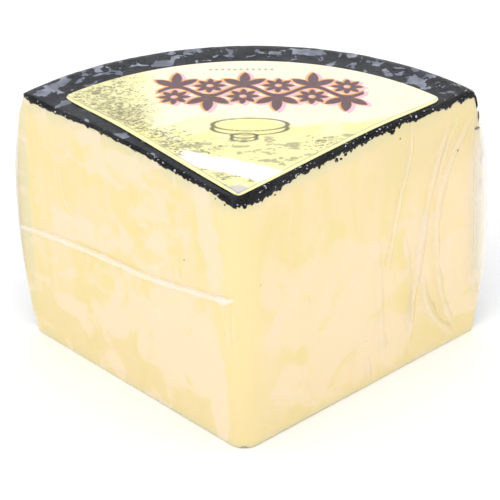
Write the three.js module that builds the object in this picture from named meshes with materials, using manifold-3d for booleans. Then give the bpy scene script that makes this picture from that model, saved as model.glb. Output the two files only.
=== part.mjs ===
// A quarter wedge cut from a wax-coated cheese wheel, with its paper top label,
// packed in a shrink-film bag. Millimetres, +Z up, the wedge's tip towards -Y.
import * as THREE from 'three';
import * as BufferGeometryUtils from 'three/addons/utils/BufferGeometryUtils.js';
import Module from 'manifold-3d';

const wasm = await Module();
wasm.setup();

// The coated wheel that the wedge was cut from.
const WHEEL_RADIUS = 139.5; // widest, half way up the bulging side
const SIDE_BULGE = 6.1; // how far the side's middle stands out beyond its two rims
const CROWN_HEIGHT = 122.7; // highest ring of the top face
const CROWN_RADIUS = 62; // radius of that ring
const CENTRE_DIP = 0.6; // how far the middle of the top face lies below the ring
const RIM_DROP = 2.8; // how far the top's rim lies below the ring
const SHOULDER_RADIUS = 5; // rounding between the side and the top
const HEEL_RADIUS = 4; // rounding between the side and the underside

// The two knife cuts.
const WEDGE_ANGLE = THREE.MathUtils.degToRad(91.2);
const CUT_SIDESTEP = -1.3; // where the cuts meet, measured from the wheel's axis
const CUT_OVERRUN = 1.9; // how far past the axis the cuts meet
const TIP_RADIUS = 8; // rounding of the wedge's soft vertical tip edge

// Skins and clearances.
const COAT_THICKNESS = 0.9;
const LABEL_THICKNESS = 0.2;
const FILM_THICKNESS = 0.3;
const GAP = 0.3; // clearance between one layer and the next

// The label: a paper sector that follows the two cuts.
const LABEL_RIM_MARGIN = 17.9; // bare coat outside the label's arc
const LABEL_RIGHT_MARGIN = 1.8; // bare coat along the right cut
const LABEL_LEFT_TIP_MARGIN = 2.6; // bare coat along the left cut, at the tip end
const LABEL_LEFT_RIM_MARGIN = 8.6; // the same, at the rim end
const LABEL_TIP_RADIUS = 3;

// The bag's end seal: a fin folded flat against the left cut face.
const SEAL_WIDTH = 2.4;
const SEAL_RIM_HEIGHT = 52.2; // height above the wheel's underside, at the rim end
const SEAL_TIP_HEIGHT = 72.4; // the same, at the tip end
const SEAL_RIM_MARGIN = 1.5; // from the seal's end to the wheel's side
const SEAL_TIP_MARGIN = 1; // from the tip rounding to the seal's other end

const WHEEL_SEGMENTS = 96; // around the full wheel

const RIM_RADIUS = WHEEL_RADIUS - SIDE_BULGE;
const HALF_ANGLE = WEDGE_ANGLE / 2;
const CUT_TIP = new THREE.Vector2(CUT_SIDESTEP, -CUT_OVERRUN);
const SIDES = { left: -1, right: 1 };

/** A closed geometry as a manifold solid. */
function toSolid(geometry) {
  const bare = geometry.clone();
  bare.deleteAttribute('normal');
  bare.deleteAttribute('uv');
  const merged = BufferGeometryUtils.mergeVertices(bare, 1e-4);
  return new wasm.Manifold(new wasm.Mesh({
    numProp: 3,
    vertProperties: new Float32Array(merged.attributes.position.array),
    triVerts: new Uint32Array(merged.index.array),
  }));
}

/** A manifold solid as a flat-shaded geometry. */
function toGeometry(solid) {
  const mesh = solid.getMesh();
  const geometry = new THREE.BufferGeometry();
  geometry.setAttribute('position', new THREE.BufferAttribute(mesh.vertProperties, 3));
  geometry.setIndex(new THREE.BufferAttribute(mesh.triVerts, 1));
  const flat = geometry.toNonIndexed();
  flat.computeVertexNormals();
  return flat;
}

/** Direction of a cut, from the tip to the rim. */
function cutDirection(side) {
  return new THREE.Vector2(side * Math.sin(HALF_ANGLE), Math.cos(HALF_ANGLE));
}

/** Normal of a cut face, pointing out of the wedge. */
function cutNormal(side) {
  return new THREE.Vector2(side * Math.cos(HALF_ANGLE), -Math.sin(HALF_ANGLE));
}

/** Distance from the tip, along a line in a cut's direction, at which it leaves a circle. */
function reachToCircle(start, direction, radius) {
  const along = start.dot(direction);
  return -along + Math.sqrt(along * along - start.lengthSq() + radius * radius);
}

/** A curve that is level at both ends, between two points of the top face's profile. */
function levelCurve(from, to) {
  const middle = (from.x + to.x) / 2;
  return new THREE.CubicBezierCurve(
    from, new THREE.Vector2(middle, from.y), new THREE.Vector2(middle, to.y), to);
}

/** Radius of the wheel's bulging side at a height above its underside. */
function sideRadius(height) {
  const middle = (CROWN_HEIGHT - RIM_DROP) / 2;
  const share = THREE.MathUtils.clamp((height - middle) / middle, -1, 1);
  return WHEEL_RADIUS - SIDE_BULGE * share * share;
}

/** Outline of the coated wheel from the underside's centre to the top's centre, as (r, z). */
function wheelOutline() {
  const rimHeight = CROWN_HEIGHT - RIM_DROP;
  // A quadratic curve reaches half way to its handle, so the handle stands out twice as far.
  const bulge = new THREE.Vector2(WHEEL_RADIUS + SIDE_BULGE, rimHeight / 2);
  const heelCorner = new THREE.Vector2(RIM_RADIUS, 0);
  const heel = new THREE.Vector2(RIM_RADIUS - HEEL_RADIUS, 0);
  const sideStart = new THREE.Vector2(RIM_RADIUS, HEEL_RADIUS);
  const sideEnd = new THREE.Vector2(RIM_RADIUS, rimHeight - SHOULDER_RADIUS);
  const shoulderCorner = new THREE.Vector2(RIM_RADIUS, rimHeight);
  const rim = new THREE.Vector2(RIM_RADIUS - SHOULDER_RADIUS, rimHeight);
  const crown = new THREE.Vector2(CROWN_RADIUS, CROWN_HEIGHT);
  const centre = new THREE.Vector2(0, CROWN_HEIGHT - CENTRE_DIP);
  const curves = [
    [new THREE.QuadraticBezierCurve(heel, heelCorner, sideStart), 3],
    [new THREE.QuadraticBezierCurve(sideStart, bulge, sideEnd), 8],
    [new THREE.QuadraticBezierCurve(sideEnd, shoulderCorner, rim), 4],
    [levelCurve(rim, crown), 5],
    [levelCurve(crown, centre), 4],
  ];
  const points = [new THREE.Vector2(0, 0), heel];
  for (const [curve, steps] of curves) {
    points.push(...curve.getPoints(steps).slice(1));
  }
  return points;
}

/** Outline pushed out along its normals by grow, with the top face raised by lift as well. */
function offsetOutline(grow, lift = 0) {
  const points = wheelOutline();
  const last = points.length - 1;
  const middle = CROWN_HEIGHT / 2;
  return points.map((point, i) => {
    const tangent = points[Math.min(i + 1, last)].clone().sub(points[Math.max(i - 1, 0)]).normalize();
    const onAxis = i === 0 || i === last;
    const normal = onAxis ? new THREE.Vector2(0, i === 0 ? -1 : 1) : new THREE.Vector2(tangent.y, -tangent.x);
    const raise = lift * THREE.MathUtils.smoothstep(point.y, middle, CROWN_HEIGHT - RIM_DROP);
    return new THREE.Vector2(point.x + grow * normal.x, point.y + grow * normal.y + raise);
  });
}

/** The whole wheel, offset from the coat's outer face by grow and raised on top by lift. */
function wheelSolid(grow, lift = 0) {
  const geometry = new THREE.LatheGeometry(offsetOutline(grow, lift), WHEEL_SEGMENTS);
  geometry.rotateX(Math.PI / 2);
  return toSolid(geometry);
}

/** The upright prism between the two cuts, offset outwards by grow, with its rounded tip. */
function wedgeSolid(grow) {
  const radius = TIP_RADIUS + grow;
  const centre = new THREE.Vector2(CUT_TIP.x, CUT_TIP.y + TIP_RADIUS / Math.sin(HALF_ANGLE));
  const far = 2 * WHEEL_RADIUS;
  const corner = (side) => centre.clone()
    .addScaledVector(cutNormal(side), radius)
    .addScaledVector(cutDirection(side), far);
  const shape = new THREE.Shape();
  const [farRight, farLeft] = [corner(SIDES.right), corner(SIDES.left)];
  shape.moveTo(farRight.x, farRight.y);
  shape.lineTo(farLeft.x, farLeft.y);
  shape.absarc(centre.x, centre.y, radius, Math.PI + HALF_ANGLE, 2 * Math.PI - HALF_ANGLE, false);
  return prism(shape, -HEEL_RADIUS, CROWN_HEIGHT + SHOULDER_RADIUS, 10);
}

/** A shape extruded upright from one height to another. */
function prism(shape, bottom, top, curveSegments) {
  const geometry = new THREE.ExtrudeGeometry(shape, {
    depth: top - bottom,
    bevelEnabled: false,
    curveSegments,
  });
  geometry.translate(0, 0, bottom);
  return toSolid(geometry);
}

/** Point on the wedge's plan, at a distance along a cut and a margin in from it. */
function planPoint(side, along, margin) {
  return CUT_TIP.clone()
    .addScaledVector(cutDirection(side), along)
    .addScaledVector(cutNormal(side), -margin);
}

/** Where two lines cross, each given by two points. */
function crossing(a, b, c, d) {
  const u = b.clone().sub(a);
  const v = d.clone().sub(c);
  return a.clone().addScaledVector(u, c.clone().sub(a).cross(v) / u.cross(v));
}

/** Outline of the label seen from above. */
function labelShape() {
  const radius = RIM_RADIUS - LABEL_RIM_MARGIN;
  const rightStart = planPoint(SIDES.right, 0, LABEL_RIGHT_MARGIN);
  const rightEnd = planPoint(SIDES.right, radius, LABEL_RIGHT_MARGIN);
  const leftStart = planPoint(SIDES.left, 0, LABEL_LEFT_TIP_MARGIN);
  const leftEnd = planPoint(SIDES.left, radius, LABEL_LEFT_RIM_MARGIN);
  const tip = crossing(rightStart, rightEnd, leftStart, leftEnd);
  const rightward = rightEnd.clone().sub(rightStart).normalize();
  const leftward = leftEnd.clone().sub(leftStart).normalize();
  const toRight = tip.clone().addScaledVector(rightward, LABEL_TIP_RADIUS);
  const toLeft = tip.clone().addScaledVector(leftward, LABEL_TIP_RADIUS);
  const rightCorner = tip.clone().addScaledVector(rightward, reachToCircle(tip, rightward, radius));
  const leftCorner = tip.clone().addScaledVector(leftward, reachToCircle(tip, leftward, radius));
  const shape = new THREE.Shape();
  shape.moveTo(toRight.x, toRight.y);
  shape.lineTo(rightCorner.x, rightCorner.y);
  shape.absarc(0, 0, radius, rightCorner.angle(), leftCorner.angle(), false);
  shape.lineTo(toLeft.x, toLeft.y);
  shape.quadraticCurveTo(tip.x, tip.y, toRight.x, toRight.y);
  return shape;
}

/** The cheese itself: one block with two cut faces. */
function makePaste() {
  return wheelSolid(-COAT_THICKNESS - GAP).intersect(wedgeSolid(0));
}

/** The coat on the block's top, side and underside, cut flush with the two cut faces. */
function makeCoat() {
  return wheelSolid(0).subtract(wheelSolid(-COAT_THICKNESS)).intersect(wedgeSolid(0));
}

/** The paper label, lying on the top coat and following its crown, clear of the wedge's edges. */
function makeLabel() {
  const sheet = wheelSolid(GAP + LABEL_THICKNESS).subtract(wheelSolid(GAP));
  const cutter = prism(labelShape(), CROWN_HEIGHT / 2, CROWN_HEIGHT + SHOULDER_RADIUS, 24);
  return sheet.intersect(cutter).intersect(wedgeSolid(-GAP));
}

/**
 * Frame of the end seal on the left cut face: x runs from its tip end to its rim end, y is
 * across it in the face and z points out of the wedge, from the film's inner face.
 */
function sealFrame() {
  const direction = cutDirection(SIDES.left);
  const normal = cutNormal(SIDES.left);
  const face = CUT_TIP.clone().addScaledVector(normal, GAP);
  const start = TIP_RADIUS / Math.tan(HALF_ANGLE) + SEAL_TIP_MARGIN;
  const end = reachToCircle(CUT_TIP, direction, sideRadius(SEAL_RIM_HEIGHT)) - SEAL_RIM_MARGIN;
  const at = (along, height) => new THREE.Vector3(
    face.x + direction.x * along, face.y + direction.y * along, height);
  const from = at(start, SEAL_TIP_HEIGHT);
  const to = at(end, SEAL_RIM_HEIGHT);
  const x = to.clone().sub(from);
  const length = x.length();
  x.normalize();
  const z = new THREE.Vector3(normal.x, normal.y, 0);
  const y = new THREE.Vector3().crossVectors(z, x);
  const matrix = new THREE.Matrix4().makeBasis(x, y, z).setPosition(from);
  return { matrix, length, up: Math.sign(y.z) };
}

/** A box in the seal's frame, between two corners. */
function sealBox(matrix, low, high) {
  const size = high.map((value, i) => value - low[i]);
  const geometry = new THREE.BoxGeometry(...size);
  geometry.translate(...high.map((value, i) => (value + low[i]) / 2));
  return toSolid(geometry.applyMatrix4(matrix));
}

/** The bag: a thin shell round the whole wedge, open only between the lips of its end seal. */
function makeFilm() {
  const lift = LABEL_THICKNESS + GAP;
  const outer = GAP + FILM_THICKNESS;
  const inside = wheelSolid(GAP, lift).intersect(wedgeSolid(GAP));
  const outside = wheelSolid(outer, lift).intersect(wedgeSolid(outer));
  const { matrix, length, up } = sealFrame();
  const across = (a, b) => [Math.min(up * a, up * b), Math.max(up * a, up * b)];
  const box = (x, y, z) => sealBox(matrix, [x[0], y[0], z[0]], [x[1], y[1], z[1]]);
  const lipStart = FILM_THICKNESS / 2;
  const slotStart = 2 * FILM_THICKNESS;
  const slotEnd = slotStart + GAP;
  const slotRun = [FILM_THICKNESS * 2, length - FILM_THICKNESS * 2];
  const fold = FILM_THICKNESS;
  const lips = box([0, length], across(-SEAL_WIDTH, 0), [lipStart, slotEnd + FILM_THICKNESS]);
  const slot = box(slotRun, across(-2 * SEAL_WIDTH, -fold), [slotStart, slotEnd]);
  const mouth = box(slotRun, across(-fold - GAP, -fold), [-GAP, slotEnd - GAP / 2]);
  return outside.add(lips).subtract(inside).subtract(slot).subtract(mouth);
}

/** A named mesh with its own material. */
function part(name, solid, colour, roughness, opacity = 1) {
  const material = new THREE.MeshStandardMaterial({
    color: new THREE.Color(colour),
    roughness,
    metalness: 0,
    opacity,
    transparent: opacity < 1,
  });
  const mesh = new THREE.Mesh(toGeometry(solid), material);
  mesh.name = name;
  return mesh;
}

const wedge = new THREE.Group();
wedge.add(part('cheese_paste', makePaste(), 0xfbe6b0, 0.5));
wedge.add(part('wax_coat', makeCoat(), 0x33353d, 0.35));
wedge.add(part('top_label', makeLabel(), 0xfaf3dc, 0.6));
wedge.add(part('film_bag', makeFilm(), 0xf4f6f8, 0.1, 0.2));

// The origin is under the middle of the wrapped wedge, on the surface that it stands on.
const box = new THREE.Box3().setFromObject(wedge);
const centre = box.getCenter(new THREE.Vector3());
wedge.position.set(-centre.x, -centre.y, -box.min.z);

export default wedge;
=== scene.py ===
"""A quarter of a wax-coated cheese wheel in its film bag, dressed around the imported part."""

import logging
import math
from dataclasses import dataclass
from enum import Enum
from itertools import product

import bpy
import numpy as np
from mathutils import Matrix, Vector


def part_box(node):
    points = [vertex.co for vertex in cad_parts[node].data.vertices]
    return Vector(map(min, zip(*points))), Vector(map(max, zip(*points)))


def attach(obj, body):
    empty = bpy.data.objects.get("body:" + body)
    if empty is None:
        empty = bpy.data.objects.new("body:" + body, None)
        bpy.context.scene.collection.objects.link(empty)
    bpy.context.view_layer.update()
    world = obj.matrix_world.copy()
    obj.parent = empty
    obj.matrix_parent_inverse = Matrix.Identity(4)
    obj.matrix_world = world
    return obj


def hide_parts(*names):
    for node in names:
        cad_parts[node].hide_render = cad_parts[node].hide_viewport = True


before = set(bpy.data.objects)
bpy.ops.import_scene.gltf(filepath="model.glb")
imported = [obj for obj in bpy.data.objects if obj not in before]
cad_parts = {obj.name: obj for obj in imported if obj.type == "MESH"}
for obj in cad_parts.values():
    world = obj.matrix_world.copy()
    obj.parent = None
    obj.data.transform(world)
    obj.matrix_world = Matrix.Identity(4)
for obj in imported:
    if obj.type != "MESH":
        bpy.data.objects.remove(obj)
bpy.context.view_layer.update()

LOG = logging.getLogger("cheese_wedge")
MM = 0.001
BODY = "root"

Colour = tuple[float, float, float, float]
Place = tuple[float, float]


class Side(Enum):
    """One of the wedge's two cut faces."""

    LEFT = -1
    RIGHT = 1


class Slot(Enum):
    """The record's material slots."""

    CHEESE = "cheese"
    WAX = "wax"
    PAPER = "label_paper"
    FILM = "film"


# ---------------------------------------------------------------- small helpers


def srgb(red: float, green: float, blue: float) -> Colour:
    """Linear colour of a display colour.

    Args:
        red: Red, 0 to 255.
        green: Green, 0 to 255.
        blue: Blue, 0 to 255.

    Returns:
        The linear red, green and blue, with alpha 1.
    """
    def linear(value: float) -> float:
        """Linear value of one display channel."""
        share = value / 255
        return share / 12.92 if share <= 0.04045 else ((share + 0.055) / 1.055) ** 2.4

    return linear(red), linear(green), linear(blue), 1.0


def smoothstep(low: float, high: float, value: np.ndarray) -> np.ndarray:
    """Smooth step from 0 at low to 1 at high.

    Args:
        low: Where the step starts.
        high: Where the step ends.
        value: The values to step.

    Returns:
        The stepped values, 0 to 1.
    """
    share = np.clip((value - low) / (high - low), 0, 1)
    return share * share * (3 - 2 * share)


def lattice_noise(points: np.ndarray, cell: float, seed: int) -> np.ndarray:
    """Smooth repeatable noise.

    Args:
        points: One row for each point, of any dimension.
        cell: Size of one lump of the noise.
        seed: Picks one pattern.

    Returns:
        One value for each point, from -1 to 1.
    """
    scaled = points / cell
    base = np.floor(scaled).astype(np.int64)
    share = scaled - base
    share = share * share * (3 - 2 * share)
    total = np.zeros(len(points))
    factors = np.array([73856093, 19349663, 83492791][: points.shape[1]], np.int64)
    for corner in product((0, 1), repeat=points.shape[1]):
        key = ((base + corner) * factors).sum(1) + seed * 2654435761
        key = (key ^ (key >> 13)) * 1274126177 & 0x7FFFFFFF
        key = (key ^ (key >> 16)) * 668265263 & 0x7FFFFFFF
        weight = np.prod(np.where(corner, share, 1 - share), axis=1)
        total += weight * (key / 0x3FFFFFFF - 1)
    return total


def fractal(points: np.ndarray, cell: float, seed: int, octaves: int = 3) -> np.ndarray:
    """Noise with finer and finer lumps.

    Args:
        points: One row for each point.
        cell: Size of the biggest lumps.
        seed: Picks one pattern.
        octaves: How many sizes of lump are added.

    Returns:
        One value for each point, about -1 to 1.
    """
    total = np.zeros(len(points))
    for octave in range(octaves):
        total += lattice_noise(points, cell / 2 ** octave, seed + octave) / 2 ** octave
    return total


def bezier(*handles: Place, steps: int) -> np.ndarray:
    """Points of a plane curve.

    Args:
        *handles: The curve's handles, three or four (x, y) pairs.
        steps: How many steps the curve is cut into.

    Returns:
        The points, one row each.
    """
    share = np.linspace(0, 1, steps + 1)[:, None]
    order = len(handles) - 1
    return sum(
        math.comb(order, k) * (1 - share) ** (order - k) * share ** k * np.array(handle)
        for k, handle in enumerate(handles)
    )


# ---------------------------------------------------------------- the wedge's shape


@dataclass(frozen=True)
class Wedge:
    """The coated wheel and its two cuts, about the wheel's axis, with z from its underside.

    The sizes are the CAD model's own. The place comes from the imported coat's box.
    """

    axis_x: float
    axis_y: float
    base_z: float
    height: float
    radius: float = 139.5 * MM
    side_bulge: float = 6.1 * MM
    crown_radius: float = 62 * MM
    centre_dip: float = 0.6 * MM
    rim_drop: float = 2.8 * MM
    shoulder: float = 5 * MM
    heel: float = 4 * MM
    half_angle: float = math.radians(45.6)
    cut_tip: Place = (-1.3 * MM, -1.9 * MM)
    tip_radius: float = 8 * MM

    @classmethod
    def from_frame(cls) -> "Wedge":
        """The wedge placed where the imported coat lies.

        Returns:
            The wedge.
        """
        low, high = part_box("wax_coat")
        probe = cls(0, 0, low.z, high.z - low.z)
        tip = np.array(probe.cut_tip)
        reach = [probe.reach(tip, probe.direction(side), probe.radius) for side in Side]
        corners = [(tip + probe.direction(side) * run)[0] for side, run in zip(Side, reach)]
        return cls(
            (low.x + high.x - sum(corners)) / 2, high.y - probe.radius, low.z, high.z - low.z
        )

    @property
    def rim_radius(self) -> float:
        """Radius where the side meets the top and the underside."""
        return self.radius - self.side_bulge

    def direction(self, side: Side) -> np.ndarray:
        """Direction of a cut in plan, from the tip to the rim."""
        return np.array([side.value * math.sin(self.half_angle), math.cos(self.half_angle)])

    def normal(self, side: Side) -> np.ndarray:
        """Normal of a cut face in plan, pointing out of the wedge."""
        return np.array([side.value * math.cos(self.half_angle), -math.sin(self.half_angle)])

    @staticmethod
    def reach(start: np.ndarray, direction: np.ndarray, radius: float) -> float:
        """Distance along a line to where it leaves a circle about the axis.

        Args:
            start: Where the line starts.
            direction: The line's unit direction.
            radius: The circle's radius.

        Returns:
            The distance from the start.
        """
        along = float(start @ direction)
        return -along + math.sqrt(along * along - float(start @ start) + radius * radius)

    def cut_point(self, side: Side, along: np.ndarray, out: np.ndarray) -> np.ndarray:
        """Points in plan on or near a cut face.

        Args:
            side: The cut face.
            along: Distances along the cut from where the cuts meet.
            out: Distances out of the face.

        Returns:
            The (x, y) points, one row each.
        """
        along, out = np.broadcast_arrays(along, out)
        return (
            np.array(self.cut_tip)
            + along[..., None] * self.direction(side)
            + out[..., None] * self.normal(side)
        )

    def cut_place(self, side: Side, plan: np.ndarray) -> tuple[np.ndarray, np.ndarray]:
        """Where points lie from a cut face.

        Args:
            side: The cut face.
            plan: The (x, y) points.

        Returns:
            The distances along the cut, and the distances out of the face.
        """
        from_tip = plan - np.array(self.cut_tip)
        return from_tip @ self.direction(side), from_tip @ self.normal(side)

    def turned_in(self, along: np.ndarray) -> np.ndarray:
        """How far the rounded tip lies inside a cut face's plane.

        Args:
            along: Distances along the cut from where the cuts meet.

        Returns:
            The distances, 0 where the face is flat.
        """
        past = np.clip(self.tip_radius / math.tan(self.half_angle) - along, 0, None)
        return self.tip_radius - np.sqrt(np.clip(self.tip_radius ** 2 - past ** 2, 0, None))

    def laid_on(self, side: Side, place: np.ndarray, off: np.ndarray) -> np.ndarray:
        """Points of a sheet that lies on a cut face and turns in with the rounded tip.

        Args:
            side: The cut face.
            place: Distances along the cut and heights up it, in millimetres, as (..., 2).
            off: How far each point stands off the face.

        Returns:
            The (x, y, z) points, one row each.
        """
        along, height = place[..., 0].ravel() * MM, place[..., 1].ravel() * MM
        plan = self.cut_point(side, along, off.ravel() - self.turned_in(along))
        return np.column_stack([plan, height])

    def placed(self, points: np.ndarray) -> np.ndarray:
        """Points of the wheel's own frame moved to where the part lies."""
        return points + np.array([self.axis_x, self.axis_y, self.base_z])


@dataclass(frozen=True)
class Profile:
    """The wheel's outline as heel, side, shoulder and top curves of (r, z) points."""

    heel: np.ndarray
    side: np.ndarray
    shoulder: np.ndarray
    top: np.ndarray

    @classmethod
    def of(cls, wedge: Wedge, grow: float, lift: float = 0.0) -> "Profile":
        """The outline pushed out from the coat's outer face.

        Args:
            wedge: The wedge.
            grow: How far out the outline is pushed.
            lift: How much more the top is raised.

        Returns:
            The outline.
        """
        rim = wedge.rim_radius
        rim_height = wedge.height - wedge.rim_drop
        bulge = (wedge.radius + wedge.side_bulge, rim_height / 2)
        low, high = (rim, wedge.heel), (rim, rim_height - wedge.shoulder)
        edge = (rim - wedge.shoulder, rim_height)
        crown = (wedge.crown_radius, wedge.height)
        centre = (0.0, wedge.height - wedge.centre_dip)
        steps = 24

        def level(start: Place, end: Place) -> np.ndarray:
            """Curve that is level at both ends."""
            middle = (start[0] + end[0]) / 2
            return bezier(start, (middle, start[1]), (middle, end[1]), end, steps=steps)

        curves = [
            bezier((rim - wedge.heel, 0.0), (rim, 0.0), low, steps=steps),
            bezier(low, bulge, high, steps=steps),
            bezier(high, (rim, rim_height), edge, steps=steps),
            np.vstack([level(edge, crown), level(crown, centre)[1:]]),
        ]
        grown = []
        for curve in curves:
            tangent = np.gradient(curve, axis=0)
            tangent /= np.linalg.norm(tangent, axis=1, keepdims=True)
            pushed = curve + grow * np.stack([tangent[:, 1], -tangent[:, 0]], axis=1)
            pushed[:, 1] += lift * smoothstep(wedge.height / 2, rim_height, pushed[:, 1])
            grown.append(pushed)
        return cls(*grown)

    def top_height(self, radius: np.ndarray) -> np.ndarray:
        """Height of the top face and shoulder at a distance from the axis."""
        curve = np.vstack([self.shoulder, self.top[1:]])[::-1]
        return np.interp(radius, curve[:, 0], curve[:, 1])

    def floor_height(self, radius: np.ndarray) -> np.ndarray:
        """Height of the underside and heel at a distance from the axis."""
        return np.interp(radius, self.heel[:, 0], self.heel[:, 1])

    @staticmethod
    def at(curve: np.ndarray, share: float) -> Place:
        """Point a share of the way along one of the curves."""
        places = np.linspace(0, 1, len(curve))
        return tuple(float(np.interp(share, places, curve[:, k])) for k in (0, 1))


@dataclass(frozen=True)
class Columns:
    """How many mesh columns each stretch of the wedge's outline gets."""

    cut: int
    tip: int
    corner: int
    arc: int


@dataclass(frozen=True)
class Outline:
    """A closed run of columns round the wedge, seen from above."""

    wedge: Wedge
    columns: Columns
    corner_radius: float

    @property
    def spans(self) -> dict[str, slice]:
        """The columns of each stretch.

        Returns:
            The stretches by name, in order round the wedge.
        """
        names = ["tip", "right", "right_corner", "arc", "left_corner", "left"]
        counts = self.columns
        sizes = [counts.tip, counts.cut, counts.corner, counts.arc, counts.corner, counts.cut]
        ends = np.cumsum(sizes)
        return {
            name: slice(int(end - size), int(end)) for name, size, end in zip(names, sizes, ends)
        }

    @property
    def cutness(self) -> np.ndarray:
        """How much each column belongs to a cut face.

        Returns:
            1 on the cut faces and 0 on the wheel's side, for each column.
        """
        spans = self.spans
        value = np.ones(spans["left"].stop)
        value[spans["arc"]] = 0
        ease = smoothstep(0, 1, np.linspace(0, 1, self.columns.corner, endpoint=False))
        value[spans["right_corner"]] = 1 - ease
        value[spans["left_corner"]] = ease
        return value

    def plan(self, radius: float, inset: float) -> np.ndarray:
        """The outline's points.

        Args:
            radius: Radius of the wheel at this height.
            inset: How far the cut faces are drawn in.

        Returns:
            The (x, y) points, one for each column.
        """
        wedge, counts, round_off = self.wedge, self.columns, self.corner_radius
        half = wedge.half_angle
        share = {
            name: np.linspace(0, 1, count, endpoint=False)
            for name, count in vars(counts).items()
        }
        centre = np.array(wedge.cut_tip) + [0, wedge.tip_radius / math.sin(half)]
        turn = math.pi + half + share["tip"] * (math.pi - 2 * half)
        tip = centre + (wedge.tip_radius - inset) * np.stack([np.cos(turn), np.sin(turn)], 1)
        start = wedge.tip_radius / math.tan(half)
        cuts, corners, ends = {}, {}, {}
        for side in Side:
            base = wedge.cut_point(side, np.array(0.0), np.array(-inset - round_off))
            run = wedge.reach(base, wedge.direction(side), radius - round_off)
            pivot = base + wedge.direction(side) * run
            cuts[side] = (start, run)
            face = math.atan2(*wedge.normal(side)[::-1])
            rim = math.atan2(pivot[1], pivot[0])
            sweep = (rim - face + math.pi) % (2 * math.pi) - math.pi
            corners[side] = (pivot, face, sweep)
            ends[side] = rim
        right = wedge.cut_point(
            Side.RIGHT, cuts[Side.RIGHT][0] + share["cut"] * np.ptp(cuts[Side.RIGHT]), -inset
        )
        left = wedge.cut_point(
            Side.LEFT, cuts[Side.LEFT][1] - share["cut"] * np.ptp(cuts[Side.LEFT]), -inset
        )
        rounded = {}
        for side, order in ((Side.RIGHT, share["corner"]), (Side.LEFT, 1 - share["corner"])):
            pivot, face, sweep = corners[side]
            turn = face + order * sweep
            rounded[side] = pivot + round_off * np.stack([np.cos(turn), np.sin(turn)], 1)
        turn = ends[Side.RIGHT] + share["arc"] * (ends[Side.LEFT] - ends[Side.RIGHT])
        arc = radius * np.stack([np.cos(turn), np.sin(turn)], 1)
        return np.vstack([tip, right, rounded[Side.RIGHT], arc, rounded[Side.LEFT], left])


@dataclass(frozen=True)
class Body:
    """Stacked rings of columns that wrap the whole wedge, from under its middle to its top."""

    outline: Outline
    profile: Profile
    edge: float
    low_edge: float
    cap: int
    rounding: int
    sides: int
    centre: Place = (0.0, 80 * MM)

    def ring(self, radius: float, inset: float, height: float, cut_height: np.ndarray | None,
             share: float = 0.0, rise: float = 0.0, fall: float = 0.0) -> np.ndarray:
        """One ring of points.

        Args:
            radius: Radius of the wheel at this ring.
            inset: How far the cut faces are drawn in.
            height: Height of the ring on the wheel's side.
            cut_height: Heights on the cut faces, or None to take them from what follows.
            share: Share of the way up the cut faces.
            rise: Height above the lower edge at share 0.
            fall: Height below the upper edge at share 1.

        Returns:
            The (x, y, z) points.
        """
        plan = self.outline.plan(radius, inset)
        if cut_height is None:
            reach = np.linalg.norm(plan, axis=1)
            low = self.profile.floor_height(reach) + rise
            high = self.profile.top_height(reach) - fall
            cut_height = low + share * (high - low)
        blend = self.outline.cutness
        return np.column_stack([plan, height + blend * (cut_height - height)])

    def shrunk(self, ring: np.ndarray, share: float, top: bool) -> np.ndarray:
        """A ring drawn in towards the middle, on the top face or the underside.

        Args:
            ring: The ring to draw in.
            share: Share of its size that is left.
            top: Whether it lies on the top face.

        Returns:
            The ring's points.
        """
        plan = np.array(self.centre) + share * (ring[:, :2] - np.array(self.centre))
        reach = np.linalg.norm(plan, axis=1)
        height = self.profile.top_height(reach) if top else self.profile.floor_height(reach)
        return np.column_stack([plan, height])

    def side_rings(self) -> list[np.ndarray]:
        """The rings from the underside's edge to the top's edge.

        Returns:
            The rings, from the lowest up.
        """
        rings = []
        for share in np.linspace(0, 1, self.rounding + 1):
            turn = share * math.pi / 2
            radius, height = Profile.at(self.profile.heel, share)
            rise = self.low_edge * (1 - math.cos(turn))
            inset = self.low_edge * (1 - math.sin(turn))
            rings.append(self.ring(radius, inset, height, None, 0, rise))
        for share in np.linspace(0, 1, self.sides + 1)[1:]:
            radius, height = Profile.at(self.profile.side, share)
            rings.append(self.ring(radius, 0, height, None, share, self.low_edge, self.edge))
        for share in np.linspace(0, 1, self.rounding + 1)[1:]:
            turn = share * math.pi / 2
            radius, height = Profile.at(self.profile.shoulder, share)
            fall = self.edge * (1 - math.sin(turn))
            inset = self.edge * (1 - math.cos(turn))
            rings.append(self.ring(radius, inset, height, None, 1, 0, fall))
        return rings

    def all_rings(self) -> np.ndarray:
        """Every ring, from the middle of the underside to the middle of the top.

        Returns:
            The points, in an array (rings, columns, 3).
        """
        sides = self.side_rings()
        shares = np.linspace(0, 1, self.cap + 1)[1:-1] ** 0.8
        below = [self.shrunk(sides[0], share, False) for share in shares]
        above = [self.shrunk(sides[-1], share, True) for share in shares[::-1]]
        return np.array(below + sides + above)


# ---------------------------------------------------------------- mesh building


def ring_faces(rings: int, columns: int) -> np.ndarray:
    """Quads between stacked closed rings, facing outwards.

    Args:
        rings: How many rings there are.
        columns: How many points each ring has.

    Returns:
        The quads as point numbers, in an array (rings - 1, columns, 4).
    """
    ring, column = np.meshgrid(np.arange(rings - 1), np.arange(columns), indexing="ij")
    after = (column + 1) % columns
    low, high = ring * columns, (ring + 1) * columns
    return np.stack([low + column, low + after, high + after, high + column], axis=-1)


def grid_faces(rows: int, columns: int) -> np.ndarray:
    """Quads of an open grid of points.

    Args:
        rows: How many rows there are.
        columns: How many points each row has.

    Returns:
        The quads as point numbers, one row each.
    """
    row, column = np.meshgrid(np.arange(rows - 1), np.arange(columns - 1), indexing="ij")
    low, high = row * columns + column, (row + 1) * columns + column
    return np.stack([low, low + 1, high + 1, high], axis=-1).reshape(-1, 4)


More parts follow.
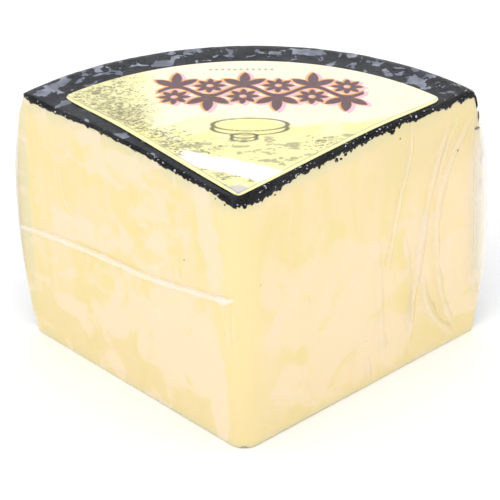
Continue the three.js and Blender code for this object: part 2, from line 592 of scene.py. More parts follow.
def point_normals(points: np.ndarray, quads: np.ndarray) -> np.ndarray:
    """Mean normal of the quads round each point.

    Args:
        points: The points.
        quads: The quads as point numbers.

    Returns:
        A unit normal for each point.
    """
    corner = points[quads]
    face = np.cross(corner[:, 2] - corner[:, 0], corner[:, 3] - corner[:, 1])
    normals = np.zeros_like(points)
    for k in range(4):
        np.add.at(normals, quads[:, k], face)
    length = np.linalg.norm(normals, axis=1, keepdims=True)
    return normals / np.maximum(length, 1e-12)


def thickened(points: np.ndarray, quads: np.ndarray, thickness: np.ndarray
              ) -> tuple[np.ndarray, np.ndarray]:
    """An open sheet made into a closed skin.

    Args:
        points: The outer face's points.
        quads: The outer face's quads.
        thickness: How thick the skin is at each point.

    Returns:
        The skin's points and quads.
    """
    inner = points - point_normals(points, quads) * thickness[:, None]
    edges = np.stack([quads, np.roll(quads, -1, axis=1)], axis=-1).reshape(-1, 2)
    count = len(points)
    forward = edges[:, 0] * count + edges[:, 1]
    backward = edges[:, 1] * count + edges[:, 0]
    rim = edges[~np.isin(forward, backward)]
    wall = np.column_stack([rim[:, 1], rim[:, 0], rim[:, 0] + count, rim[:, 1] + count])
    return np.vstack([points, inner]), np.vstack([quads, quads[:, ::-1] + count, wall])


def make_object(name: str, points: np.ndarray, faces: list[list[int]] | np.ndarray,
                values: dict[str, np.ndarray] | None = None) -> bpy.types.Object:
    """A smooth-shaded mesh object.

    Args:
        name: The object's name.
        points: Its points, where the part lies.
        faces: Its faces as point numbers.
        values: Named values for each point, as numbers or as colours, for the finish to read.

    Returns:
        The object, linked to the scene.
    """
    used = np.unique(np.concatenate([np.asarray(face).ravel() for face in faces])
                     if isinstance(faces, list) else faces)
    order = np.full(len(points), -1)
    order[used] = np.arange(len(used))
    kept = [order[np.asarray(face)].tolist() for face in faces]
    mesh = bpy.data.meshes.new(name)
    mesh.from_pydata(points[used].tolist(), [], kept)
    for key, value in (values or {}).items():
        if value.ndim == 1:
            layer = mesh.attributes.new(key, "FLOAT", "POINT")
            layer.data.foreach_set("value", value[used].astype(np.float32))
        else:
            layer = mesh.attributes.new(key, "FLOAT_COLOR", "POINT")
            colour = np.column_stack([value[used], np.ones(len(used))])
            layer.data.foreach_set("color", colour.astype(np.float32).ravel())
    mesh.validate()
    mesh.shade_smooth()
    piece = bpy.data.objects.new(name, mesh)
    bpy.context.scene.collection.objects.link(piece)
    return piece


def closed_ring_faces(rings: int, columns: int) -> list[list[int]]:
    """Faces of stacked rings with both ends closed by a flat face.

    Args:
        rings: How many rings there are.
        columns: How many points each ring has.

    Returns:
        The faces as point numbers.
    """
    quads = ring_faces(rings, columns).reshape(-1, 4).tolist()
    bottom = list(range(columns))[::-1]
    top = list(range((rings - 1) * columns, rings * columns))
    return quads + [bottom, top]


# ---------------------------------------------------------------- finishes


class Graph:
    """The node graph of one material."""

    def __init__(self, name: str) -> None:
        """An empty graph for a new material.

        Args:
            name: The material's name.
        """
        self.material = bpy.data.materials.new(name)
        self.material.use_nodes = True
        self.nodes = self.material.node_tree.nodes
        self.links = self.material.node_tree.links
        self.nodes.clear()
        self.place = self.nodes.new("ShaderNodeTexCoord").outputs["Object"]

    def add(self, kind: str, **settings: object) -> bpy.types.Node:
        """Add a node.

        Args:
            kind: The node's type, without its leading "ShaderNode".
            **settings: Settings of the node.

        Returns:
            The node.
        """
        node = self.nodes.new("ShaderNode" + kind)
        for key, value in settings.items():
            setattr(node, key, value)
        return node

    def feed(self, socket: bpy.types.NodeSocket, value: object) -> None:
        """Give a socket a value or join it to another node's output.

        Args:
            socket: The socket.
            value: A value of its own kind, or an output.
        """
        if isinstance(value, bpy.types.NodeSocket):
            self.links.new(value, socket)
        else:
            socket.default_value = value

    def value_of(self, name: str) -> bpy.types.NodeSocket:
        """A named number of the mesh's points."""
        return self.add("Attribute", attribute_name=name).outputs["Fac"]

    def colour_of(self, name: str) -> bpy.types.NodeSocket:
        """A named colour of the mesh's points."""
        return self.add("Attribute", attribute_name=name).outputs["Color"]

    def noise(self, lump: float, detail: float = 3.0, rough: float = 0.55, warp: float = 0.0,
              stretch: tuple[float, float, float] = (1, 1, 1)) -> bpy.types.NodeSocket:
        """Soft noise over the object.

        Args:
            lump: Size of its lumps, in metres.
            detail: How many finer sizes are added.
            rough: How strong the finer sizes are.
            warp: How much the pattern is distorted.
            stretch: How much the pattern is drawn out along each axis.

        Returns:
            The noise, about 0.25 to 0.75.
        """
        mapping = self.add("Mapping")
        self.links.new(self.place, mapping.inputs["Vector"])
        mapping.inputs["Scale"].default_value = [1 / value for value in stretch]
        node = self.add("TexNoise")
        self.links.new(mapping.outputs[0], node.inputs["Vector"])
        node.inputs["Scale"].default_value = 1 / lump
        node.inputs["Detail"].default_value = detail
        node.inputs["Roughness"].default_value = rough
        node.inputs["Distortion"].default_value = warp
        return node.outputs["Fac"]

    def step(self, value: object, low: float, high: float, start: float = 0.0,
             end: float = 1.0) -> bpy.types.NodeSocket:
        """Smooth step of a value.

        Args:
            value: The value.
            low: Where the step starts.
            high: Where the step ends.
            start: Result at or below low.
            end: Result at or above high.

        Returns:
            The stepped value.
        """
        node = self.add("MapRange", interpolation_type="SMOOTHSTEP")
        for key, number in (("Value", value), ("From Min", low), ("From Max", high),
                            ("To Min", start), ("To Max", end)):
            self.feed(node.inputs[key], number)
        return node.outputs[0]

    def sum(self, first: object, second: object, kind: str = "ADD") -> bpy.types.NodeSocket:
        """Two values put together.

        Args:
            first: The first value.
            second: The second value.
            kind: Which of Blender's math operations is used.

        Returns:
            The result.
        """
        node = self.add("Math", operation=kind)
        self.feed(node.inputs[0], first)
        self.feed(node.inputs[1], second)
        return node.outputs[0]

    def mix(self, share: object, first: object, second: object) -> bpy.types.NodeSocket:
        """A blend of two colours.

        Args:
            share: How much of the second colour there is.
            first: The first colour.
            second: The second colour.

        Returns:
            The blended colour.
        """
        node = self.add("Mix", data_type="RGBA")
        self.feed(node.inputs[0], share)
        self.feed(node.inputs[6], first)
        self.feed(node.inputs[7], second)
        return node.outputs[2]

    def bump(self, height: object, depth: float, strength: float = 1.0) -> bpy.types.NodeSocket:
        """A bumped normal.

        Args:
            height: The height map.
            depth: How far 0 to 1 of it stands out, in metres.
            strength: Share of the effect.

        Returns:
            The normal.
        """
        node = self.add("Bump")
        node.inputs["Strength"].default_value = strength
        node.inputs["Distance"].default_value = depth
        self.feed(node.inputs["Height"], height)
        return node.outputs[0]

    def finish(self, **sockets: object) -> bpy.types.Material:
        """Close the graph with the Principled shader.

        Args:
            **sockets: Values or outputs for its sockets, with _ for each space.

        Returns:
            The finished material.
        """
        shader = self.add("BsdfPrincipled")
        for key, value in sockets.items():
            self.feed(shader.inputs[key.replace("_", " ")], value)
        output = self.add("OutputMaterial")
        self.links.new(shader.outputs[0], output.inputs["Surface"])
        return self.material


@dataclass(frozen=True)
class CheeseFinish:
    """Pale yellow paste: an ivory rind band near its coat, darkened by painted shade under the
    coat's lip, deeper yellow at the tip, darker towards its foot, and a painted milky sheen where
    the film stands off it.
    """

    paste: Colour = srgb(234, 215, 154)
    deep: Colour = srgb(240, 219, 163)
    # paler rind tone near the coat, darkened with painted shade under the coat's lip
    rind_and_shade: Colour = srgb(220, 212, 172)
    pale: Colour = srgb(239, 217, 172)
    # colour of the painted milky sheen, the loose film's reflection laid into the paste
    milky: Colour = srgb(241, 220, 192)
    heavy: Colour = srgb(227, 209, 154)

    def build(self) -> bpy.types.Material:
        """Build the paste's material.

        Returns:
            The material.
        """
        graph = Graph("cheese_paste_finish")
        mottle = graph.noise(17 * MM, detail=4, warp=0.7, stretch=(1, 1, 2.4))
        mottle = graph.step(mottle, 0.38, 0.62)
        colour = graph.mix(mottle, self.paste, self.pale)
        colour = graph.mix(graph.value_of("tip"), colour, self.deep)
        rind = graph.value_of("rind")
        wavy = graph.sum(rind, graph.step(graph.noise(20 * MM), 0.3, 0.7, -1.5, 1.5))
        # rind band: the real paler rind, darkened by painted shade under the coat's lip
        colour = graph.mix(graph.step(wavy, 3.0, 11.0, 0.9, 0.0), colour, self.rind_and_shade)
        loose = graph.value_of("loose")
        loose = graph.sum(loose, graph.noise(13 * MM, detail=4, rough=0.5, warp=0.9))
        loose = graph.sum(loose, graph.sum(graph.noise(4 * MM), 0.1, "MULTIPLY"))
        # darker towards the foot and high on the right face by the rim
        colour = graph.mix(graph.value_of("low"), colour, self.heavy)
        # painted sheen: the loose film's milky reflection painted into the paste colour
        painted_sheen = graph.step(loose, 0.48, 0.66, 0.0, 0.7)
        painted_sheen = graph.sum(painted_sheen, graph.value_of("sheen_share"), "MULTIPLY")
        colour = graph.mix(painted_sheen, colour, self.milky)
        grain = graph.noise(1.1 * MM, detail=4, rough=0.6)
        drag = graph.noise(4 * MM, rough=0.5, warp=0.2, stretch=(1, 1, 9))
        height = graph.sum(grain, graph.sum(drag, 0.6, "MULTIPLY"))
        return graph.finish(
            Base_Color=colour,
            Roughness=graph.step(grain, 0.3, 0.7, 0.42, 0.56),
            Normal=graph.bump(height, 0.12 * MM, 0.6),
            Subsurface_Weight=0.25,
            Subsurface_Radius=(1.0, 0.62, 0.28),
            Subsurface_Scale=4 * MM,
            Specular_IOR_Level=0.35,
        )


@dataclass(frozen=True)
class WaxFinish:
    """Black coating wax: slate with pale patches of painted sheen where the film stands off it,
    glossy black over a cut with pale specks of painted glint.
    """

    body: Colour = srgb(28, 31, 38)
    worn: Colour = srgb(40, 44, 53)
    smear: Colour = srgb(5, 5, 9)
    # pale colours of the painted sheen, where the film stands off the wax
    sheen_patch: Colour = srgb(104, 109, 124)
    bright: Colour = srgb(150, 155, 168)
    # colour of the painted glints, small pale specks on the smeared wax
    glint: Colour = srgb(190, 194, 204)

    def build(self) -> bpy.types.Material:
        """Build the wax's material.

        Returns:
            The material.
        """
        graph = Graph("black_wax_finish")
        cloud = graph.step(graph.noise(16 * MM, detail=4, rough=0.6, warp=0.5), 0.42, 0.66)
        colour = graph.mix(cloud, self.body, self.worn)
        # pale patches of painted sheen from the loose film, where the noise and the sheen field
        # pass a threshold
        ragged = graph.noise(5.2 * MM, detail=4, rough=0.5, warp=0.6)
        ragged = graph.sum(ragged, graph.value_of("film_sheen"))
        tone = graph.step(graph.noise(11 * MM, detail=2), 0.4, 0.65)
        pale = graph.mix(tone, self.sheen_patch, self.bright)
        colour = graph.mix(graph.step(ragged, 0.585, 0.605), colour, pale)
        smear = graph.value_of("smear")
        colour = graph.mix(smear, colour, self.smear)
        # painted glints: pale specks, only where the wax is smeared
        glint_mask = graph.step(graph.noise(1.3 * MM, detail=2, rough=0.4), 0.67, 0.70)
        colour = graph.mix(graph.sum(glint_mask, smear, "MULTIPLY"), colour, self.glint)
        grain = graph.noise(2.2 * MM, detail=4, rough=0.62)
        lumps = graph.noise(7 * MM, detail=2)
        height = graph.sum(grain, graph.sum(lumps, 0.8, "MULTIPLY"))
        return graph.finish(
            Base_Color=colour,
            Roughness=graph.step(grain, 0.35, 0.65, 0.3, 0.48),
            Normal=graph.bump(height, 0.4 * MM, 0.5),
            Specular_IOR_Level=0.16,
        )


@dataclass(frozen=True)
class PaperFinish:
    """Coated label paper that shows the colours printed on it."""

    stipple: Colour = srgb(122, 116, 84)
    fibre: Colour = srgb(255, 253, 240)

    def build(self) -> bpy.types.Material:
        """Build the printed paper's material.

        Returns:
            The material.
        """
        graph = Graph("printed_paper_finish")
        fibre = graph.noise(0.6 * MM, rough=0.7)
        dots = graph.noise(1.3 * MM, rough=0.75, stretch=(1.5, 1, 1))
        dots = graph.step(graph.sum(dots, graph.value_of("stipple")), 0.62, 0.74, 0.0, 0.85)
        printed = graph.mix(dots, graph.colour_of("print"), self.stipple)
        faded = graph.mix(graph.step(fibre, 0.4, 0.75, 0.0, 0.12), printed, self.fibre)
        return graph.finish(
            Base_Color=faded,
            Roughness=graph.step(fibre, 0.3, 0.7, 0.42, 0.55),
            Normal=graph.bump(graph.noise(9 * MM, detail=2), 0.2 * MM, 0.4),
            Specular_IOR_Level=0.35,
        )


@dataclass(frozen=True)
class FilmFinish:
    """Clear shrink film, white where it is welded or gathered."""

    clear: float = 0.012
    tint: Colour = srgb(254, 248, 240)
    shadow: Colour = srgb(196, 174, 126)

    def build(self) -> bpy.types.Material:
        """Build the film's material.

        Returns:
            The material.
        """
        graph = Graph("shrink_film_finish")
        slack = graph.step(graph.noise(20 * MM, rough=0.5, warp=0.6), 0.35, 0.7, 0.3, 1.7)
        alpha = graph.sum(graph.sum(slack, self.clear, "MULTIPLY"), graph.value_of("weld"))
        return graph.finish(
            Base_Color=graph.mix(graph.value_of("shade"), self.tint, self.shadow),
            Alpha=graph.sum(alpha, 0.95, "MINIMUM"),
            Roughness=graph.step(slack, 0.3, 1.7, 0.16, 0.3),
            Normal=graph.bump(graph.noise(6 * MM), 0.3 * MM, 0.5),
            Specular_IOR_Level=0.5,
        )


# ---------------------------------------------------------------- the pieces


class Piece:
    """One visible piece, built around the wedge's shape."""

    name: str
    node: str
    slot: Slot

    def settle(self, piece: bpy.types.Object, material: bpy.types.Material) -> bpy.types.Object:
        """Dress a piece and tie it to the part.

        Args:
            piece: The mesh object.
            material: Its material.

        Returns:
            The same object.
        """
        piece.data.materials.append(material)
        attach(piece, BODY)
        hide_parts(self.node)
        return piece


@dataclass(frozen=True)
class LoosePatch:
    """A patch of a cut face where the film stands off the cheese and a milky sheen is painted, in
    millimetres.
    """

    side: Side
    middle: Place
    half: Place
    lean: float = 0.0
    strength: float = 1.0

    def field(self, along: np.ndarray, height: np.ndarray) -> np.ndarray:
        """The patch's strength inside it, falling to 0 outside it.

        Args:
            along: Distances along the cut, in millimetres.
            height: Heights up it, in millimetres.

        Returns:
            One value for each point.
        """
        turn = math.radians(self.lean)
        dx, dy = along - self.middle[0], height - self.middle[1]
        u = (dx * math.cos(turn) + dy * math.sin(turn)) / self.half[0]
        v = (dy * math.cos(turn) - dx * math.sin(turn)) / self.half[1]
        return self.strength * smoothstep(1.35, 0.65, np.hypot(u, v))


@dataclass(frozen=True)
class LooseFilm:
    """Where the film stands off the cut faces; its milky reflection is painted into the paste as a
    sheen.
    """

    wedge: Wedge
    patches: tuple[LoosePatch, ...]

    def field(self, points: np.ndarray) -> np.ndarray:
        """How loose the film is over each point.

        Args:
            points: The points.

        Returns:
            One value for each point: above 0 where it is loose, below 0 where it is drawn tight.
        """
        total = np.zeros(len(points))
        height = points[:, 2] / MM
        wander = fractal(points, 16 * MM, 81, 3) * 2.5
        for side in Side:
            along, out = self.wedge.cut_place(side, points[:, :2])
            raised, lowered = np.zeros(len(points)), np.zeros(len(points))
            for patch in (patch for patch in self.patches if patch.side is side):
                field = patch.field(along / MM + wander, height - wander)
                raised = np.maximum(raised, field)
                lowered = np.minimum(lowered, field)
            total += smoothstep(-6, -2, out / MM) * (raised + lowered)
        return total


LOOSE_PATCHES = (
    LoosePatch(Side.LEFT, (38, 38), (38, 22)),
    LoosePatch(Side.LEFT, (15, 88), (6, 27), -8),
    LoosePatch(Side.LEFT, (95, 66), (24, 7), -12),
    LoosePatch(Side.LEFT, (88, 109), (12, 8), 10),
    LoosePatch(Side.LEFT, (66, 112), (14, 5)),
    LoosePatch(Side.LEFT, (49, 80), (5, 6), 30, 0.8),
    LoosePatch(Side.LEFT, (61, 88), (6, 4), 20, 0.7),
    LoosePatch(Side.LEFT, (122, 108), (4, 6), 0, 0.7),
    LoosePatch(Side.LEFT, (108, 24), (12, 5), -10, 0.8),
    LoosePatch(Side.LEFT, (84, 28), (10, 12), 20, 0.7),
    LoosePatch(Side.LEFT, (78, 9), (8, 4), 0, 0.8),
    LoosePatch(Side.LEFT, (12, 17), (6, 21), 0, 1.5),
    LoosePatch(Side.LEFT, (33, 21), (17, 6), -8, 0.9),
    LoosePatch(Side.LEFT, (31, 8.5), (12, 4), -8, -0.9),
    LoosePatch(Side.LEFT, (66, 12), (10, 7), -20, -0.8),
    LoosePatch(Side.LEFT, (112, 10), (16, 6), 0, -0.8),
    LoosePatch(Side.RIGHT, (20, 78), (8, 20), 0, 0.9),
    LoosePatch(Side.RIGHT, (52, 52), (34, 24), -10),
    LoosePatch(Side.RIGHT, (60, 18), (44, 14), 0, 0.9),
    LoosePatch(Side.RIGHT, (40, 112), (10, 7), 0, 0.5),
    LoosePatch(Side.RIGHT, (58, 105), (7, 9), 0, 0.5),
    LoosePatch(Side.RIGHT, (126, 30), (11, 26), 8, 0.9),
    LoosePatch(Side.RIGHT, (102, 60), (6, 30), 4, 0.5),
    LoosePatch(Side.RIGHT, (134, 66), (5, 22), 0, 1.4),
    LoosePatch(Side.RIGHT, (92, 96), (18, 20), 0, -0.6),
    LoosePatch(Side.RIGHT, (128, 5), (12, 5), -25, -1.6),
)


@dataclass
class CheeseBlock(Piece):
    """The paste itself, with two knife-cut faces and a soft tip."""

    wedge: Wedge
    name: str = "cheese_block"
    node: str = "cheese_paste"
    slot: Slot = Slot.CHEESE
    skin: float = 0.6 * MM
    corner_radius: float = 1.5 * MM
    edge: float = 1.3 * MM
    low_edge: float = 0.4 * MM
    foot: float = 1.0 * MM
    right_sheen: float = 0.8
    left_swell: float = 0.9 * MM
    wobble: float = 0.25 * MM
    foot_share: float = 3.0
    rim_share: float = 3.2
    tip_band: Place = (4 * MM, 17 * MM)
    columns: Columns = Columns(cut=96, tip=16, corner=6, arc=110)

    def build(self) -> bpy.types.Object:
        """Build and dress the block.

        Returns:
            The block.
        """
        wedge = self.wedge
        outline = Outline(wedge, self.columns, self.corner_radius)
        profile = Profile.of(wedge, -self.skin)
        body = Body(outline, profile, self.edge, self.low_edge, cap=14, rounding=4, sides=84)
        rings = body.all_rings()
        faces = closed_ring_faces(*rings.shape[:2])
        points = self.handmade(rings.reshape(-1, 3), rings.shape[:2])
        piece = make_object(self.name, wedge.placed(points), faces, self.tones(points))
        return self.settle(piece, CheeseFinish().build())

    def tones(self, points: np.ndarray) -> dict[str, np.ndarray]:
        """What the paste's finish reads at each point.

        Args:
            points: The block's points.

        Returns:
            The depth under the coat, in millimetres, with less near the foot and the rim, how
            near the tip is, how loose the film is, how strong the painted milky sheen of the loose
            film is there, and how much darker the paste is made.
        """
        wedge = self.wedge
        reach = np.linalg.norm(points[:, :2], axis=1)
        below_top = Profile.of(wedge, 0).top_height(reach) - points[:, 2]
        depth = np.minimum(below_top, self.foot_share * points[:, 2])
        inside_rim = np.maximum(wedge.rim_radius - reach, 0)
        rind = np.minimum(depth, self.rim_share * inside_rim) / MM
        from_tip = np.linalg.norm(points[:, :2] - np.array(wedge.cut_tip), axis=1)
        tip = 1 - smoothstep(*self.tip_band, from_tip)
        # how loose the film is, which sets where the painted milky sheen lies
        loose = 0.22 * LooseFilm(wedge, LOOSE_PATCHES).field(points) - 0.06 - 0.3 * tip
        # the painted sheen is weaker on the right face and fades high up it
        right = self.right_sheen * (1 - 0.85 * smoothstep(70, 104, points[:, 2] / MM))
        sheen_share = np.where(points[:, 0] > wedge.cut_tip[0], right, 1.0)
        low = self.heavy(points)
        return {"rind": rind, "tip": tip, "loose": loose, "sheen_share": sheen_share, "low": low}

    def heavy(self, points: np.ndarray) -> np.ndarray:
        """How much darker the paste is made: towards its foot, and high on the right face by the
        rim.

        Args:
            points: The block's points.

        Returns:
            One value for each point.
        """
        height = points[:, 2] / MM
        along, out = self.wedge.cut_place(Side.RIGHT, points[:, :2])
        far = smoothstep(62, 92, along / MM) * smoothstep(-6, -2, out / MM)
        return 0.55 * smoothstep(62, 4, height) + 0.6 * far * smoothstep(78, 100, height)

    def handmade(self, points: np.ndarray, shape: tuple[int, int]) -> np.ndarray:
        """Give the block the slight unevenness of a hand cut.

        Args:
            points: The block's points.
            shape: How many rings there are, and how many points each has.

        Returns:
            The moved points.
        """
        wedge = self.wedge
        normals = point_normals(points, ring_faces(*shape).reshape(-1, 4))
        swell = fractal(points, 32 * MM, 5) * self.wobble
        swell *= smoothstep(119, 112, points[:, 2] / MM)
        moved = points + normals * swell[:, None]
        reach, height = np.linalg.norm(points[:, :2], axis=1), points[:, 2] / MM
        at_rim = smoothstep(-3, -1.5, (reach - wedge.rim_radius) / MM)
        at_rim *= smoothstep(4, 10, height) * smoothstep(116, 108, height)
        at_foot = smoothstep(3, 0.6, height)
        for side, push in ((Side.LEFT, self.skin + self.left_swell), (Side.RIGHT, self.skin)):
            at_cut = smoothstep(-2.8, -0.8, wedge.cut_place(side, points[:, :2])[1] / MM)
            moved[:, :2] += (push * at_rim * at_cut)[:, None] * wedge.direction(side)
            moved[:, 2] -= self.foot * at_foot * at_cut
        return moved


@dataclass(frozen=True)
class SheenPatch:
    """A patch of painted sheen on the wax where the film stands off it: its middle, half length,
    half breadth and lean.
    """

    middle: Place
    length: float
    breadth: float
    lean: float

    def field(self, place: np.ndarray) -> np.ndarray:
        """Above 0.14 inside the patch, falling off outside it.

        Args:
            place: The (x, y) points, in millimetres.

        Returns:
            One value for each point.
        """
        dx, dy = (place - np.array(self.middle)).T
        turn = math.radians(self.lean)
        along = (dx * math.cos(turn) + dy * math.sin(turn)) / self.length
        across = (dy * math.cos(turn) - dx * math.sin(turn)) / self.breadth
        return 0.5 - 0.36 * np.hypot(along, across)


@dataclass
class WaxCoat(Piece):
    """The black coat on the wheel's faces, with a ragged lip smeared over each cut."""

    wedge: Wedge
    name: str = "wax_coat_skin"
    node: str = "wax_coat"
    slot: Slot = Slot.WAX
    thickness: float = 0.5 * MM
    corner_radius: float = 1.2 * MM
    edge: float = 1.0 * MM
    lip: float = 0.45 * MM
    lip_tuck: float = 0.3 * MM
    lip_rows: int = 12
    side_rows: int = 44
    lip_zone: float = 6 * MM
    setback: float = 3.0 * MM
    chip: float = 131.8 * MM
    chip_floor: float = 108 * MM
    retreat: float = 1.9 * MM
    wrap_span: Place = (66 * MM, 112 * MM)
    columns: Columns = Columns(cut=250, tip=30, corner=8, arc=190)
    right_lip: tuple[Place, ...] = (
        (0, 6.4), (3, 5.4), (6, 3.4), (12, 5.2), (20, 4.6), (26, 2.4), (45, 2.6), (68, 2.2),
        (90, 1.4), (110, 1.6), (126, 1.8), (133, 2.8),
    )
    left_lip: tuple[Place, ...] = (
        (0, 6.4), (3, 5.0), (6, 2.4), (12, 1.2), (30, 1.2), (70, 1.0), (100, 1.2), (126, 2.2),
    )
    shortest_lip: float = 0.35 * MM
    # patches of painted sheen where the film stands off the wax
    sheen_patches: tuple[SheenPatch, ...] = (
        SheenPatch((-83.5, 93.5), 7.6, 2.6, 50),
        SheenPatch((-77, 79.5), 4.0, 1.3, 35),
        SheenPatch((-50.5, 48.8), 3.4, 1.5, -18),
        SheenPatch((-37, 32.5), 2.4, 1.6, -50),
        SheenPatch((70.5, 98), 5.6, 2.8, -52),
        SheenPatch((24, 124), 6.0, 2.4, -5),
        SheenPatch((-38, 115), 5.0, 3.0, 25),
    )

    def drop(self, outline: Outline) -> np.ndarray:
        """How far the lip hangs below the top's edge.

        Args:
            outline: The coat's outline.

        Returns:
            One length for each column.
        """
        wedge = self.wedge
        plan = outline.plan(wedge.rim_radius, 0)
        left, right = (
            np.interp(wedge.cut_place(side, plan)[0] / MM, *zip(*lengths))
            for side, lengths in ((Side.LEFT, self.left_lip), (Side.RIGHT, self.right_lip))
        )
        on_right = plan[:, 0] > wedge.cut_tip[0]
        base = np.where(on_right, right, left)
        place = plan / MM
        ragged = fractal(place, 4.2, 11, 2)
        teeth = np.abs(fractal(place, 2.1, 31, 3)) - 0.35
        big, small = np.where(on_right, 1.0, 0.35), np.where(on_right, 2.0, 1.3)
        return np.maximum((base + big * ragged + small * teeth) * MM, self.shortest_lip)

    def build(self) -> bpy.types.Object:
        """Build and dress the coat.

        Returns:
            The coat.
        """
        wedge = self.wedge
        outline = Outline(wedge, self.columns, self.corner_radius)
        profile = Profile.of(wedge, 0)
        body = Body(outline, profile, self.edge, self.edge, cap=30, rounding=6, sides=1)
        cutness = outline.cutness
        sides = body.side_rings()
        heel, shoulder = sides[1: body.rounding + 1], sides[-body.rounding:]
        middle = self.hung_rings(body)
        foot_radius, _ = Profile.at(profile.heel, 0)
        under = body.ring(foot_radius, self.setback, 0.0, np.zeros(len(cutness)))
        below = [body.shrunk(under, share, False) for share in np.linspace(0, 1, 9)[1:-1]]
        caps = np.linspace(0, 1, body.cap + 1)[1:-1] ** 0.6
        above = [body.shrunk(shoulder[-1], share, True) for share in caps[::-1]]
        rings = np.array(below + [under] + heel + middle + shoulder + above)
        first_side = len(below)
        first_lip = first_side + len(heel) + len(middle) - self.lip_rows
        bare = self.bare(rings, cutness)
        bare[:first_side], bare[first_lip:] = False, False
        faces = ring_faces(*rings.shape[:2])[~bare]
        points = self.handmade(self.chipped(rings.reshape(-1, 3)), faces)
        points, faces = thickened(points, faces, np.full(len(points), self.thickness))
        # where the wax is smeared, which also gets painted glints, and where the pale painted
        # sheen of the loose film shows
        values = {"smear": self.smear(points), "film_sheen": self.film_sheen(points)}
        everything = faces.tolist() + self.plugs(rings.shape[:2])
        piece = make_object(self.name, wedge.placed(points), everything, values)
        return self.settle(piece, WaxFinish().build())

    def hung_rings(self, body: Body) -> list[np.ndarray]:
        """The rings up the side, with the lip hung from the top's edge over each cut.

        Args:
            body: The coat's plain shape.

        Returns:
            The rings, from the lowest up.
        """
        profile, outline = body.profile, body.outline
        drop = self.drop(outline)
        side_span = profile.side[-1, 1] - profile.side[0, 1]
        lip_share = self.lip_zone / side_span
        rings = []
        for share in np.linspace(0, 1 - lip_share, self.side_rows)[1:-1]:
            radius, height = Profile.at(profile.side, share)
            rings.append(body.ring(radius, 0, height, None, share, self.edge, self.edge))
        for share in 1 - lip_share * np.linspace(1, 0, self.lip_rows + 1):
            radius, height = Profile.at(profile.side, share)
            hang = (1 - share) * side_span / self.lip_zone
            bulge = self.lip * math.sin(math.pi * min(hang * 1.1, 1)) ** 0.6
            bulge -= self.lip_tuck * max(0.0, hang * 8 - 7)
            plan = outline.plan(radius, -bulge)
            top = profile.top_height(np.linalg.norm(plan, axis=1)) - self.edge
            rings.append(body.ring(radius, -bulge, height, top - drop * hang))
        return rings

    def bare(self, rings: np.ndarray, cutness: np.ndarray) -> np.ndarray:
        """Where the cuts have left no coat, with the ragged edges of what wraps round them.

        Args:
            rings: The coat's rings.
            cutness: How much each column belongs to a cut face.

        Returns:
            Whether each quad between the rings is bare.
        """
        height = rings[:-1, :, 2]
        wrap = smoothstep(0, 5 * MM, height - self.wrap_span[0])
        wrap *= smoothstep(5 * MM, 0, height - self.wrap_span[1])
        torn = fractal(rings[:-1].reshape(-1, 3), 5 * MM, 61, 3).reshape(height.shape)
        reach = np.clip(0.08 + 0.5 * wrap + 0.25 * torn, 0.03, 0.9)
        return np.maximum(cutness, np.roll(cutness, -1))[None, :] > reach

    @staticmethod
    def plugs(shape: tuple[int, int]) -> list[list[int]]:
        """The small faces that close the middle of the top and of the underside.

        Args:
            shape: How many rings there are, and how many points each has.

        Returns:
            The four faces, outside and inside.
        """
        rings, columns = shape
        count = rings * columns
        bottom = list(range(columns))[::-1]
        top = list(range(count - columns, count))
        return [bottom, top, [k + count for k in bottom][::-1], [k + count for k in top][::-1]]

    def handmade(self, points: np.ndarray, faces: np.ndarray) -> np.ndarray:
        """Give the coat the soft lumps of brushed wax.

        Args:
            points: The coat's points.
            faces: Its quads.

        Returns:
            The moved points.
        """
        lumps, beads = fractal(points, 9 * MM, 3, 3), fractal(points, 2 * MM, 8, 2)
        swell = lumps * 0.09 * MM + beads * 0.05 * MM
        return points + point_normals(points, faces) * swell[:, None]

    def chipped(self, points: np.ndarray) -> np.ndarray:
        """Draw the coat back from the rim corners, where it has broken away.

        Args:
            points: The coat's points.

        Returns:
            The moved points.
        """
        wedge = self.wedge
        along, out = wedge.cut_place(Side.LEFT, points[:, :2])
        ragged = fractal(points, 2.5 * MM, 67, 2) * 0.8 * MM
        below = np.clip(self.chip_floor - points[:, 2], 0, None)
        limit = self.chip - 1.3 * out + ragged + 2 * below
        short = np.clip(along - limit, 0, 8 * MM)
        moved = points.copy()
        moved[:, :2] -= short[:, None] * wedge.direction(Side.LEFT)
        ragged = np.clip(0.75 + 0.9 * fractal(points, 9 * MM, 69, 3), 0.1, 1.3)
        reach, height = np.linalg.norm(points[:, :2], axis=1), points[:, 2] / MM
        turn = np.zeros(len(points))
        for side, head in ((Side.LEFT, (119, 116)), (Side.RIGHT, (110, 105))):
            out = wedge.cut_place(side, points[:, :2])[1] / MM
            share = smoothstep(-8, -0.5, out) * smoothstep(126, 130, reach / MM)
            share *= smoothstep(*head, height) * ragged
            turn += side.value * self.retreat / wedge.radius * share
        x, y = moved[:, 0].copy(), moved[:, 1].copy()
        moved[:, 0] = x * np.cos(turn) - y * np.sin(turn)
        moved[:, 1] = x * np.sin(turn) + y * np.cos(turn)
        return moved

    def smear(self, points: np.ndarray) -> np.ndarray:
        """1 where the wax is smeared over a cut face, 0 on the wheel's own faces."""
        left, right = (self.wedge.cut_place(side, points[:, :2])[1] / MM for side in Side)
        return np.maximum(smoothstep(-1.1, -0.3, left), smoothstep(-3.2, -1.4, right))

    def film_sheen(self, points: np.ndarray) -> np.ndarray:
        """How readily the pale painted sheen of the loose film shows on the wax.

        Args:
            points: The coat's points.

        Returns:
            One value for each point.
        """
        place = points[:, :2] / MM
        reach = np.linalg.norm(place, axis=1)
        field = smoothstep(114, 121, reach) * 0.105 - smoothstep(132, 137, reach) * 0.05 - 0.085
        for sheen_patch in self.sheen_patches:
            field = np.maximum(field, sheen_patch.field(place))
        return field


